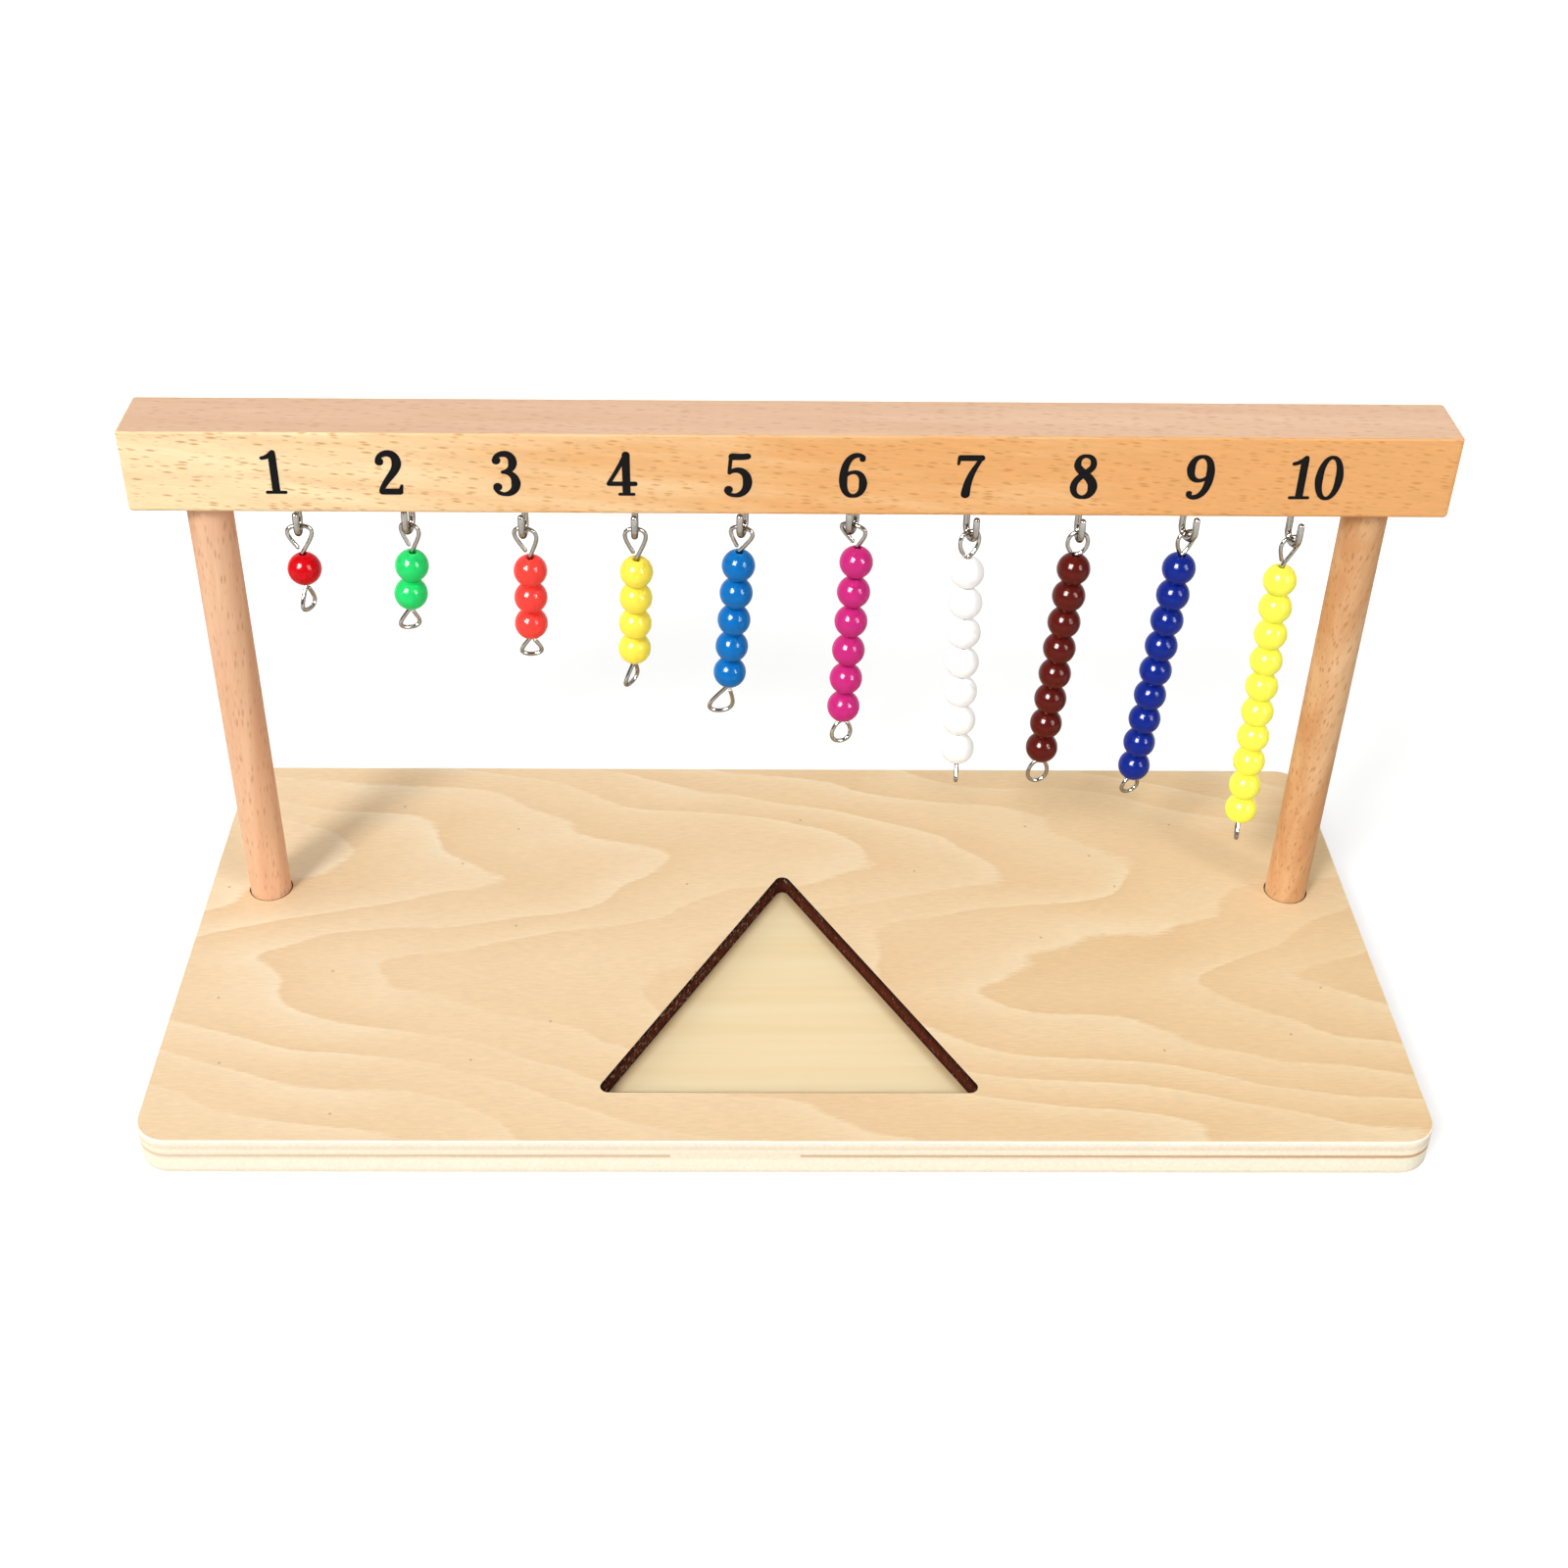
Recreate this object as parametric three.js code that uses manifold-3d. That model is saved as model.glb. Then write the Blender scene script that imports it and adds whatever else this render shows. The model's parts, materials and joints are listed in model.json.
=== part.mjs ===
// A counting stand: a plywood base with a triangular tray, two beech posts, a beech beam with ten screw
// hooks under it, and ten bars of coloured beads that hang from the hooks by their wire loops.
//
// Millimetres. +Z is up, +X runs along the beam and the front faces -Y. The origin lies on the ground,
// under the middle of the base.
import * as THREE from "three";
import { mergeVertices } from "three/addons/utils/BufferGeometryUtils.js";
import Module from "manifold-3d";

// Base: two plywood boards, glued face to face
const STAND_WIDTH = 300;
const BASE_DEPTH = 145;
const BASE_CORNER_RADIUS = 8;
const TOP_BOARD_THICKNESS = 5;
const BOTTOM_BOARD_THICKNESS = 5;

// Tray: a triangle cut through the upper board with its point to the back, so the lower board is its floor
const TRAY_WIDTH = 91;
const TRAY_LENGTH = 81.5;
const TRAY_CORNER_RADIUS = 1.8;
const TRAY_FROM_FRONT = 16;
const TRAY_ASIDE = 0.7;

// Posts: dowels that stand on the lower board and end in sockets in the beam
const POST_DIAMETER = 10.5;
const POST_INSET = 16;
const POST_FROM_BACK = 54;
const POST_CHAMFER = 0.6;
const POST_HOLE_CLEARANCE = 0.2;
const POST_SOCKET_DEPTH = 12;
const POST_TOP_GAP = 0.3;

// Beam: as long as the base is wide, with softened edges
const BEAM_DEPTH = 18;
const BEAM_HEIGHT = 20;
const BEAM_EDGE_RADIUS = 1.2;

// Hooks: open screw hooks bent from plated wire
const HOOK_WIRE = 1.6;
const HOOK_DROP = 11;
const HOOK_BEND_RADIUS = 2.4;
const HOOK_MOUTH = 4.3;
const HOOK_SCREW_LENGTH = 8;
const HOOK_POINT = 1.5;
const HOOK_TIP_DOME = 0.3;
const HOOK_HOLE_CLEARANCE = 0.15;
const FIRST_HOOK_FROM_POST = 20;
const LAST_HOOK_FROM_POST = 15;

// Bead bars: a wire stem with a hand-bent loop at each end, and the beads between the loops
const BAR_WIRE = 1;
const BAR_WIRE_DOME = 0.2;
const LOOP_OPENING = 54;
const LOOP_FULLNESS = 4;
const LINK_GAP = 0.35;
const NECK_GAP = 0.3;
const BEAD_DIAMETER = 8;
const BEAD_LENGTH = 7.6;
const BEAD_BORE = 1.8;
const BEAD_GAP = 0.2;
const ROOM_UNDER_LONGEST_BAR = 17.4;

// One entry for each bar, from the left: its bead colour; how far its hook stands to the right of its even
// place, how far it is left unscrewed and how far it is turned; how far the bar leans to the left and to the
// back; how far its stem lies to the right of its hook; and the width and height of the loop at its top and
// at its end, with the end loop's turn and how far it lies to the right of the stem. Lengths are in
// millimetres and angles in degrees.
const BARS = [
  {
    colour: "#c8101d", hookAside: -0.1, hookOut: -0.3, hookTurn: 3, leanLeft: -0.5, leanBack: -4,
    stemAside: 0.2, topLoop: [5.7, 7], endLoop: [4.6, 6.5], endLoopTurn: 62, endAside: 0,
  },
  {
    colour: "#1fc45a", hookAside: -0.3, hookOut: -0.9, hookTurn: -12, leanLeft: 6.5, leanBack: 1.5,
    stemAside: 1, topLoop: [4.4, 7.2], endLoop: [4.6, 5.6], endLoopTurn: 20, endAside: 0,
  },
  {
    colour: "#f23a38", hookAside: 0.4, hookOut: 0.1, hookTurn: -6, leanLeft: 2.5, leanBack: 5.5,
    stemAside: 1.4, topLoop: [5.2, 8], endLoop: [4.8, 5.4], endLoopTurn: 6, endAside: 0,
  },
  {
    colour: "#f7c928", hookAside: 0.4, hookOut: 0.1, hookTurn: 0, leanLeft: 2.5, leanBack: 7,
    stemAside: 0.6, topLoop: [4.9, 8.5], endLoop: [4.8, 7.2], endLoopTurn: 55, endAside: -0.8,
  },
  {
    colour: "#0f6fc4", hookAside: -0.4, hookOut: -0.4, hookTurn: -16, leanLeft: 3.5, leanBack: 3,
    stemAside: -0.2, topLoop: [5.3, 6.5], endLoop: [5.6, 8], endLoopTurn: 4, endAside: -2,
  },
  {
    colour: "#c9267c", hookAside: -0.7, hookOut: -1.4, hookTurn: -24, leanLeft: 2.5, leanBack: -4.5,
    stemAside: 1.7, topLoop: [5.1, 5.6], endLoop: [4.5, 5.8], endLoopTurn: 40, endAside: 0,
  },
  {
    colour: "#f4f4f2", hookAside: 1.2, hookOut: 0.3, hookTurn: 22, leanLeft: -0.5, leanBack: -7.5,
    stemAside: -0.3, topLoop: [4.7, 6.3], endLoop: [4.4, 4.6], endLoopTurn: 82, endAside: 0,
  },
  {
    colour: "#5e1a17", hookAside: 0.7, hookOut: 0.4, hookTurn: 3, leanLeft: 2.5, leanBack: 2,
    stemAside: 0.2, topLoop: [4.5, 6], endLoop: [4.6, 6.6], endLoopTurn: 10, endAside: 0,
  },
  {
    colour: "#142a90", hookAside: 0.3, hookOut: 0.1, hookTurn: 28, leanLeft: 2.5, leanBack: 4,
    stemAside: -0.2, topLoop: [4.7, 6.3], endLoop: [4.6, 5], endLoopTurn: 45, endAside: 0,
  },
  {
    colour: "#f6f43a", hookAside: -0.7, hookOut: 1.4, hookTurn: 18, leanLeft: -1, leanBack: 0.5,
    stemAside: -1.4, topLoop: [4.8, 7.7], endLoop: [4.4, 4.8], endLoopTurn: 78, endAside: 0,
  },
];

// The parts list stops at sixty, so the bars after this one carry their beads as one joined row
const LOOSE_BEAD_BARS = 7;

// Facets
const ARC_DIVISIONS = 4;
const POST_SIDES = 24;
const HOOK_SIDES = 6;
const HOOK_BEND_STEPS = 8;
const WIRE_SIDES = 6;
const LOOP_STEPS = 12;
const LOOP_FIRST_ANGLE = 28;
const BEAD_SIDES = 10;
const BEAD_ARC_STEPS = 6;
const EDGE_STEPS = 2;

// Places that follow from the sizes above
const HALF_TURN = 180;
const FULL_TURN = 360;
const BASE_TOP = BOTTOM_BOARD_THICKNESS + TOP_BOARD_THICKNESS;
const POST_X = STAND_WIDTH / 2 - POST_INSET;
const POST_Y = BASE_DEPTH / 2 - POST_FROM_BACK;
const PIVOT_BELOW_BEAM = HOOK_DROP - HOOK_WIRE - LINK_GAP - BAR_WIRE / 2;
const LONGEST_BAR = BARS.at(-1);
const LONGEST_REACH = PIVOT_BELOW_BEAM + LONGEST_BAR.hookOut + barLength(LONGEST_BAR, BARS.length);
const BEAM_UNDERSIDE = BASE_TOP + ROOM_UNDER_LONGEST_BAR + LONGEST_REACH;
const FIRST_HOOK_X = -POST_X + FIRST_HOOK_FROM_POST;
const LAST_HOOK_X = POST_X - LAST_HOOK_FROM_POST;
const HOOK_PITCH = (LAST_HOOK_X - FIRST_HOOK_X) / (BARS.length - 1);

const radians = THREE.MathUtils.degToRad;

const plywood = finish("#e6c99c", 0.6, 0);
const beech = finish("#dba875", 0.5, 0);
const plate = finish("#b9b6b0", 0.25, 1);

function finish(colour, roughness, metalness) {
  return new THREE.MeshStandardMaterial({ color: colour, roughness, metalness });
}

function namedMesh(name, geometry, material) {
  const mesh = new THREE.Mesh(geometry, material);
  mesh.name = name;
  return mesh;
}

// Length of a row of beads, measured along its bar
function rowLength(count) {
  const gaps = count > LOOSE_BEAD_BARS ? 0 : count - 1;
  return count * BEAD_LENGTH + gaps * BEAD_GAP;
}

function stemLength(count) {
  return rowLength(count) + 2 * NECK_GAP;
}

// From the middle of the wire at the top of the upper loop to the underside of the lower loop
function barLength(bar, count) {
  return bar.topLoop[1] + stemLength(count) + bar.endLoop[1] + BAR_WIRE / 2;
}

// A closed solid that can be cut, from a geometry whose shared corners are merged
function solidOf(geometry) {
  const bare = geometry.clone();
  bare.deleteAttribute("normal");
  bare.deleteAttribute("uv");
  const merged = mergeVertices(bare, 1e-4);
  const vertProperties = new Float32Array(merged.attributes.position.array);
  const triVerts = new Uint32Array(merged.index.array);
  return new wasm.Manifold(new wasm.Mesh({ numProp: 3, vertProperties, triVerts }));
}

function geometryOf(solid) {
  const mesh = solid.getMesh();
  const geometry = new THREE.BufferGeometry();
  geometry.setAttribute("position", new THREE.BufferAttribute(mesh.vertProperties, 3));
  geometry.setIndex(new THREE.BufferAttribute(mesh.triVerts, 1));
  geometry.computeVertexNormals();
  return geometry;
}

function roundedRectangle(width, height, radius) {
  const x = width / 2 - radius;
  const y = height / 2 - radius;
  const outline = new THREE.Shape();
  outline.absarc(x, y, radius, 0, radians(90));
  outline.absarc(-x, y, radius, radians(90), radians(180));
  outline.absarc(-x, -y, radius, radians(180), radians(270));
  outline.absarc(x, -y, radius, radians(270), radians(360));
  outline.closePath();
  return outline;
}

// Outline of the tray: an arc at each corner, joined by the sides of an even triangle. The arcs keep clear of
// the corners by the radius over the tangent of half the corner's angle, and of the point by radius / cosine.
function trayOutline() {
  const front = -BASE_DEPTH / 2 + TRAY_FROM_FRONT;
  const slope = Math.atan2(TRAY_LENGTH, TRAY_WIDTH / 2);
  const cornerX = TRAY_WIDTH / 2 - TRAY_CORNER_RADIUS / Math.tan(slope / 2);
  const cornerY = front + TRAY_CORNER_RADIUS;
  const pointY = front + TRAY_LENGTH - TRAY_CORNER_RADIUS / Math.cos(slope);
  const rightSide = radians(90) - slope;
  const leftSide = radians(90) + slope;
  const outline = new THREE.Path();
  outline.absarc(TRAY_ASIDE + cornerX, cornerY, TRAY_CORNER_RADIUS, radians(-90), rightSide);
  outline.absarc(TRAY_ASIDE, pointY, TRAY_CORNER_RADIUS, rightSide, leftSide);
  outline.absarc(TRAY_ASIDE - cornerX, cornerY, TRAY_CORNER_RADIUS, leftSide, radians(270));
  outline.closePath();
  return outline;
}

function postHole(x) {
  const radius = POST_DIAMETER / 2 + POST_HOLE_CLEARANCE;
  const outline = new THREE.Path();
  for (const start of [0, 120, 240]) {
    outline.absarc(x, POST_Y, radius, radians(start), radians(start + 120));
  }
  outline.closePath();
  return outline;
}

function board(outline, thickness) {
  return new THREE.ExtrudeGeometry(outline, {
    depth: thickness,
    bevelEnabled: false,
    curveSegments: ARC_DIVISIONS,
  });
}

function makeBase() {
  const base = new THREE.Group();
  const lower = roundedRectangle(STAND_WIDTH, BASE_DEPTH, BASE_CORNER_RADIUS);
  base.add(namedMesh("base_bottom_board", board(lower, BOTTOM_BOARD_THICKNESS), plywood));

  const upper = roundedRectangle(STAND_WIDTH, BASE_DEPTH, BASE_CORNER_RADIUS);
  upper.holes.push(trayOutline(), postHole(-POST_X), postHole(POST_X));
  const topBoard = namedMesh("base_top_board", board(upper, TOP_BOARD_THICKNESS), plywood);
  topBoard.position.z = BOTTOM_BOARD_THICKNESS;
  base.add(topBoard);
  return base;
}

// A turned solid about +Z, from a profile of radius and height
function turned(profile, sides) {
  const points = profile.map(([radius, height]) => new THREE.Vector2(radius, height));
  return new THREE.LatheGeometry(points, sides).rotateX(radians(90));
}

function rod(radius, length, chamfer, sides) {
  return turned([
    [0, 0],
    [radius - chamfer, 0],
    [radius, chamfer],
    [radius, length - chamfer],
    [radius - chamfer, length],
    [0, length],
  ], sides);
}

function makePosts() {
  const posts = new THREE.Group();
  const top = BEAM_UNDERSIDE + POST_SOCKET_DEPTH - POST_TOP_GAP;
  const dowel = rod(POST_DIAMETER / 2, top - BOTTOM_BOARD_THICKNESS, POST_CHAMFER, POST_SIDES);
  for (const [name, x] of [["left_post", -POST_X], ["right_post", POST_X]]) {
    const post = namedMesh(name, dowel, beech);
    post.position.set(x, POST_Y, BOTTOM_BOARD_THICKNESS);
    posts.add(post);
  }
  return posts;
}

function hookX(bar, index) {
  return FIRST_HOOK_X + index * HOOK_PITCH + bar.hookAside;
}

// A straight drilling into the beam's underside
function drilling(radius, depth, sides, x, y) {
  const tool = turned([[0, -depth], [radius, -depth], [radius, depth], [0, depth]], sides);
  return solidOf(tool.translate(x, y, 0));
}

function makeBeam() {
  const face = roundedRectangle(
    STAND_WIDTH - 2 * BEAM_EDGE_RADIUS,
    BEAM_HEIGHT - 2 * BEAM_EDGE_RADIUS,
    BEAM_EDGE_RADIUS,
  );
  const blank = new THREE.ExtrudeGeometry(face, {
    depth: BEAM_DEPTH - 2 * BEAM_EDGE_RADIUS,
    bevelThickness: BEAM_EDGE_RADIUS,
    bevelSize: BEAM_EDGE_RADIUS,
    bevelSegments: EDGE_STEPS,
    curveSegments: 1,
  });
  blank.rotateX(radians(90));
  blank.translate(0, BEAM_DEPTH / 2 - BEAM_EDGE_RADIUS, BEAM_HEIGHT / 2);

  let beam = solidOf(blank);
  const socketRadius = POST_DIAMETER / 2 + POST_HOLE_CLEARANCE;
  for (const x of [-POST_X, POST_X]) {
    beam = beam.subtract(drilling(socketRadius, POST_SOCKET_DEPTH, POST_SIDES, x, 0));
  }
  const pilotRadius = HOOK_WIRE / 2 + HOOK_HOLE_CLEARANCE;
  BARS.forEach((bar, index) => {
    const turn = radians(bar.hookTurn);
    const x = hookX(bar, index) - HOOK_BEND_RADIUS * Math.sin(turn);
    const y = HOOK_BEND_RADIUS * Math.cos(turn);
    const depth = HOOK_SCREW_LENGTH - bar.hookOut + HOOK_HOLE_CLEARANCE;
    beam = beam.subtract(drilling(pilotRadius, depth, 2 * HOOK_SIDES, x, y));
  });

  const mesh = namedMesh("crossbeam", geometryOf(beam), beech);
  mesh.position.set(0, POST_Y, BEAM_UNDERSIDE);
  return mesh;
}

// A round section carried along a path of points: a ring square to the path at each point, and a low
// cone on each end
function sweptWire(path, radius, sides, startCone, endCone) {
  const steps = path.slice(1).map((point, i) => point.clone().sub(path[i]).normalize());
  const tangents = path.map((_, i) => {
    const before = steps[Math.max(i - 1, 0)];
    const after = steps[Math.min(i, steps.length - 1)];
    return before.clone().add(after).normalize();
  });

  const positions = [];
  const normal = new THREE.Vector3(1, 0, 0);
  if (Math.abs(tangents[0].x) > 0.9) {
    normal.set(0, 1, 0);
  }
  path.forEach((point, i) => {
    const tangent = tangents[i];
    normal.addScaledVector(tangent, -normal.dot(tangent)).normalize();
    const binormal = tangent.clone().cross(normal);
    for (let side = 0; side < sides; side += 1) {
      const angle = radians((FULL_TURN * side) / sides);
      const corner = point.clone();
      corner.addScaledVector(normal, radius * Math.cos(angle));
      corner.addScaledVector(binormal, radius * Math.sin(angle));
      positions.push(...corner.toArray());
    }
  });
  const startTip = path[0].clone().addScaledVector(tangents[0], -startCone);
  const endTip = path.at(-1).clone().addScaledVector(tangents.at(-1), endCone);
  positions.push(...startTip.toArray(), ...endTip.toArray());

  const faces = [];
  const lastRing = (path.length - 1) * sides;
  const startIndex = path.length * sides;
  for (let side = 0; side < sides; side += 1) {
    const next = (side + 1) % sides;
    for (let ring = 0; ring < lastRing; ring += sides) {
      const a = ring + side;
      const b = ring + next;
      faces.push(a, b, b + sides, a, b + sides, a + sides);
    }
    faces.push(startIndex, next, side);
    faces.push(startIndex + 1, lastRing + side, lastRing + next);
  }

  const geometry = new THREE.BufferGeometry();
  geometry.setAttribute("position", new THREE.Float32BufferAttribute(positions, 3));
  geometry.setIndex(faces);
  geometry.computeVertexNormals();
  return geometry;
}

// The hook lies in its own YZ plane: screw and shank behind, the bend below, the open end in front
function hookPath() {
  const bendDepth = HOOK_DROP - HOOK_WIRE / 2 - HOOK_BEND_RADIUS;
  const path = [new THREE.Vector3(0, HOOK_BEND_RADIUS, HOOK_SCREW_LENGTH - HOOK_POINT)];
  for (let step = 0; step <= HOOK_BEND_STEPS; step += 1) {
    const angle = radians((HALF_TURN * step) / HOOK_BEND_STEPS);
    const y = HOOK_BEND_RADIUS * Math.cos(angle);
    const z = -bendDepth - HOOK_BEND_RADIUS * Math.sin(angle);
    path.push(new THREE.Vector3(0, y, z));
  }
  path.push(new THREE.Vector3(0, -HOOK_BEND_RADIUS, -HOOK_MOUTH - HOOK_TIP_DOME));
  return path;
}

function makeHook(bar, index) {
  const wire = sweptWire(hookPath(), HOOK_WIRE / 2, HOOK_SIDES, HOOK_POINT, HOOK_TIP_DOME);
  const hook = namedMesh(`hook_${index + 1}`, wire, plate);
  hook.position.set(hookX(bar, index), POST_Y, BEAM_UNDERSIDE - bar.hookOut);
  hook.rotation.z = radians(bar.hookTurn);
  return hook;
}

// Points round a loop, from its neck: along it (1 - cos(a)) / 2, and across it
// rise * sqrt(1 - rise ** fullness), which runs straight out from the neck, turns a corner and is flat at the
// far end. The wire stops short of the neck by the opening. The far end lies aside where the loop was bent
// askew.
function loopPoints([width, height], turn, aside) {
  const widestRise = Math.pow(2 / (2 + LOOP_FULLNESS), 1 / LOOP_FULLNESS);
  const widest = widestRise * Math.sqrt(LOOP_FULLNESS / (2 + LOOP_FULLNESS));
  const points = [];
  for (let step = 0; step <= LOOP_STEPS; step += 1) {
    const lastAngle = FULL_TURN - LOOP_OPENING;
    const angle = radians(LOOP_FIRST_ANGLE + ((lastAngle - LOOP_FIRST_ANGLE) * step) / LOOP_STEPS);
    const rise = (1 - Math.cos(angle)) / 2;
    const side = Math.sign(Math.sin(angle));
    const across = (side * (width / 2) * rise * Math.sqrt(1 - Math.pow(rise, LOOP_FULLNESS))) / widest;
    const x = across * Math.cos(turn) + aside * rise;
    points.push(new THREE.Vector3(x, across * Math.sin(turn), height * rise));
  }
  return points;
}

// The wire of a bar, hanging down from the top of its upper loop: loop, neck, stem, neck, loop
function barWirePath(count, bar) {
  const upperNeck = new THREE.Vector3(bar.stemAside, 0, -bar.topLoop[1]);
  const lowerNeck = new THREE.Vector3(bar.stemAside, 0, -bar.topLoop[1] - stemLength(count));
  const upperLoop = loopPoints(bar.topLoop, radians(bar.hookTurn), -bar.stemAside).reverse();
  const lowerLoop = loopPoints(bar.endLoop, radians(bar.endLoopTurn), -bar.endAside);
  return [
    ...upperLoop.map((point) => point.add(upperNeck)),
    upperNeck,
    lowerNeck,
    ...lowerLoop.map((point) => lowerNeck.clone().sub(point)),
  ];
}

// A row of balls with flat ends round a common bore; the row starts at its lower end
function beadRow(count) {
  const radius = BEAD_DIAMETER / 2;
  const flatLatitude = Math.asin(BEAD_LENGTH / BEAD_DIAMETER);
  const profile = [[BEAD_BORE / 2, 0]];
  for (let bead = 0; bead < count; bead += 1) {
    const middle = (bead + 0.5) * BEAD_LENGTH;
    const firstStep = bead === 0 ? 0 : 1;
    for (let step = firstStep; step <= BEAD_ARC_STEPS; step += 1) {
      const latitude = flatLatitude * ((2 * step) / BEAD_ARC_STEPS - 1);
      profile.push([radius * Math.cos(latitude), middle + radius * Math.sin(latitude)]);
    }
  }
  profile.push([BEAD_BORE / 2, count * BEAD_LENGTH], [BEAD_BORE / 2, 0]);
  return turned(profile, BEAD_SIDES);
}

function makeBeads(bar, count) {
  const material = finish(bar.colour, 0.2, 0);
  const rowTop = -bar.topLoop[1] - NECK_GAP;
  if (count > LOOSE_BEAD_BARS) {
    const row = namedMesh(`beads_${count}`, beadRow(count), material);
    row.position.set(bar.stemAside, 0, rowTop - rowLength(count));
    return [row];
  }
  const beads = [];
  for (let place = 1; place <= count; place += 1) {
    const bead = namedMesh(`bead_${count}_${place}`, beadRow(1), material);
    bead.position.set(bar.stemAside, 0, rowTop - rowLength(place));
    beads.push(bead);
  }
  return beads;
}

// A bar turns about the top of its upper loop, which hangs in the bend of its hook
function makeBar(bar, index) {
  const count = index + 1;
  const group = new THREE.Group();
  group.position.set(hookX(bar, index), POST_Y, BEAM_UNDERSIDE - bar.hookOut - PIVOT_BELOW_BEAM);
  group.rotation.set(radians(bar.leanBack), radians(bar.leanLeft), 0);

  const path = barWirePath(count, bar);
  const wire = sweptWire(path, BAR_WIRE / 2, WIRE_SIDES, BAR_WIRE_DOME, BAR_WIRE_DOME);
  group.add(namedMesh(`bead_wire_${count}`, wire, plate));
  group.add(...makeBeads(bar, count));
  return group;
}

const wasm = await Module();
wasm.setup();

const stand = new THREE.Group();
stand.add(makeBase());
stand.add(makePosts());
stand.add(makeBeam());
stand.add(...BARS.map(makeHook));
stand.add(...BARS.map(makeBar));

export default stand;
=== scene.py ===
# %% [markdown]
# # A counting stand in beech, plywood, plated wire and plastic
#
# The stand is a plywood base with a triangular tray, two dowel posts and a beech beam. Ten hooks under
# the beam hold ten bars of coloured beads, from one bead to ten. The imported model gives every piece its
# place and its joints, so this lesson only has to give each piece a fine surface and a finish. All sizes
# are written in millimetres and become metres when a mesh is made.

# %% Load the frame
import json
import math

import bmesh
import bpy
import numpy as np
from mathutils import Matrix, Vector
from mathutils.geometry import tessellate_polygon


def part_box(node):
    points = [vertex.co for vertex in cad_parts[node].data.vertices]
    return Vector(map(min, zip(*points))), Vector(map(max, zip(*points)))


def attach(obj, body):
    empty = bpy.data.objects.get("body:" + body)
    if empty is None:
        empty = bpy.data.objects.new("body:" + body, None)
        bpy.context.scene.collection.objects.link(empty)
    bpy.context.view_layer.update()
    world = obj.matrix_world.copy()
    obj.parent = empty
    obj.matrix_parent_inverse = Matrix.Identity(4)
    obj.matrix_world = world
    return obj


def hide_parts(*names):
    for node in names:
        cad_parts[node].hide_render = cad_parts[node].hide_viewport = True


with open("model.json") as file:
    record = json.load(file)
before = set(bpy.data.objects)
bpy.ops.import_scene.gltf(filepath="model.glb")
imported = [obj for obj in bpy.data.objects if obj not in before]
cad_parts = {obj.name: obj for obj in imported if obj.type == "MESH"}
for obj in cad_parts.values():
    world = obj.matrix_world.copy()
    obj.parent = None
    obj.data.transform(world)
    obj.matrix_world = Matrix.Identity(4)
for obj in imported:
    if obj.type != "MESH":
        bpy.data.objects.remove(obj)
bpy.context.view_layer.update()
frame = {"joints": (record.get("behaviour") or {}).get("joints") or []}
MM = 0.001

# %% [markdown]
# ## The camera
#
# The photograph was taken from in front and above, close enough for the posts to lean together towards
# the ground. Its camera was worked out from the straight edges of the base and the beam. A long lens far
# away would be easier to set up, but it would lose that lean. The small shift stands for a picture that
# was cropped off centre.

# %% Place the camera
FRAME_PIXELS = 1600
FOCAL_PIXELS = 2088.4
SHIFT_PIXELS = (-36, -20)
CAMERA_PLACE = (-15.36, -400.48, 353.68)
CAMERA_YAW = -0.916
CAMERA_PITCH = 35.878
CAMERA_ROLL = -0.744
SENSOR_WIDTH = 36
NEAR_CLIP = 10

camera_data = bpy.data.cameras.new("front_camera")
camera_data.sensor_width = SENSOR_WIDTH
camera_data.lens = FOCAL_PIXELS / FRAME_PIXELS * SENSOR_WIDTH
camera_data.shift_x = -SHIFT_PIXELS[0] / FRAME_PIXELS
camera_data.shift_y = SHIFT_PIXELS[1] / FRAME_PIXELS
camera_data.clip_start = NEAR_CLIP * MM
camera = bpy.data.objects.new("front_camera", camera_data)
bpy.context.scene.collection.objects.link(camera)

level_camera = Matrix.Rotation(math.radians(90), 4, "X")
roll = Matrix.Rotation(math.radians(CAMERA_ROLL), 4, "Y")
pitch = Matrix.Rotation(math.radians(-CAMERA_PITCH), 4, "X")
yaw = Matrix.Rotation(math.radians(CAMERA_YAW), 4, "Z")
place = Matrix.Translation([value * MM for value in CAMERA_PLACE])
camera.matrix_world = place @ yaw @ pitch @ roll @ level_camera
bpy.context.scene.camera = camera
print("lens", round(camera_data.lens, 2), "mm")

# %% [markdown]
# ## Colours and nodes
#
# Screens show sRGB and shaders count in linear light, so each colour is written as the hex value that the
# eye knows and turned to linear by one function. One more small function adds a node with its settings
# and links, which keeps each material short enough to read from top to bottom. It leaves the links to a
# helper that serves the ready-made shader too: an input takes a number, a hex colour, a socket or a whole
# node, which then gives its first output in use.

# %% Colours and nodes
def linear(hex_colour):
    """Linear RGBA of an sRGB hex colour: c / 12.92 near black, else ((c + 0.055) / 1.055) ** 2.4."""
    channels = np.array([int(hex_colour[i:i + 2], 16) for i in (1, 3, 5)]) / 255
    curve = np.where(channels <= 0.04045, channels / 12.92, ((channels + 0.055) / 1.055) ** 2.4)
    return (*curve.tolist(), 1.0)


def connect(tree, node, inputs):
    """Gives a node's inputs, by name or by number, their values or their links."""
    for key, value in inputs.items():
        named = [socket for socket in node.inputs if socket.enabled and socket.name == key]
        socket = named[0] if named else node.inputs[key]
        if isinstance(value, str):
            value = linear(value)
        if isinstance(value, bpy.types.Node):
            value = next(output for output in value.outputs if output.enabled)
        if isinstance(value, bpy.types.NodeSocket):
            tree.links.new(value, socket)
        else:
            socket.default_value = value


def add(tree, kind, inputs, **settings):
    """Adds one shader node, sets its properties and then gives it its inputs."""
    made = tree.nodes.new(f"ShaderNode{kind}")
    for name, value in settings.items():
        setattr(made, name, value)
    connect(tree, made, inputs)
    return made


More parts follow.
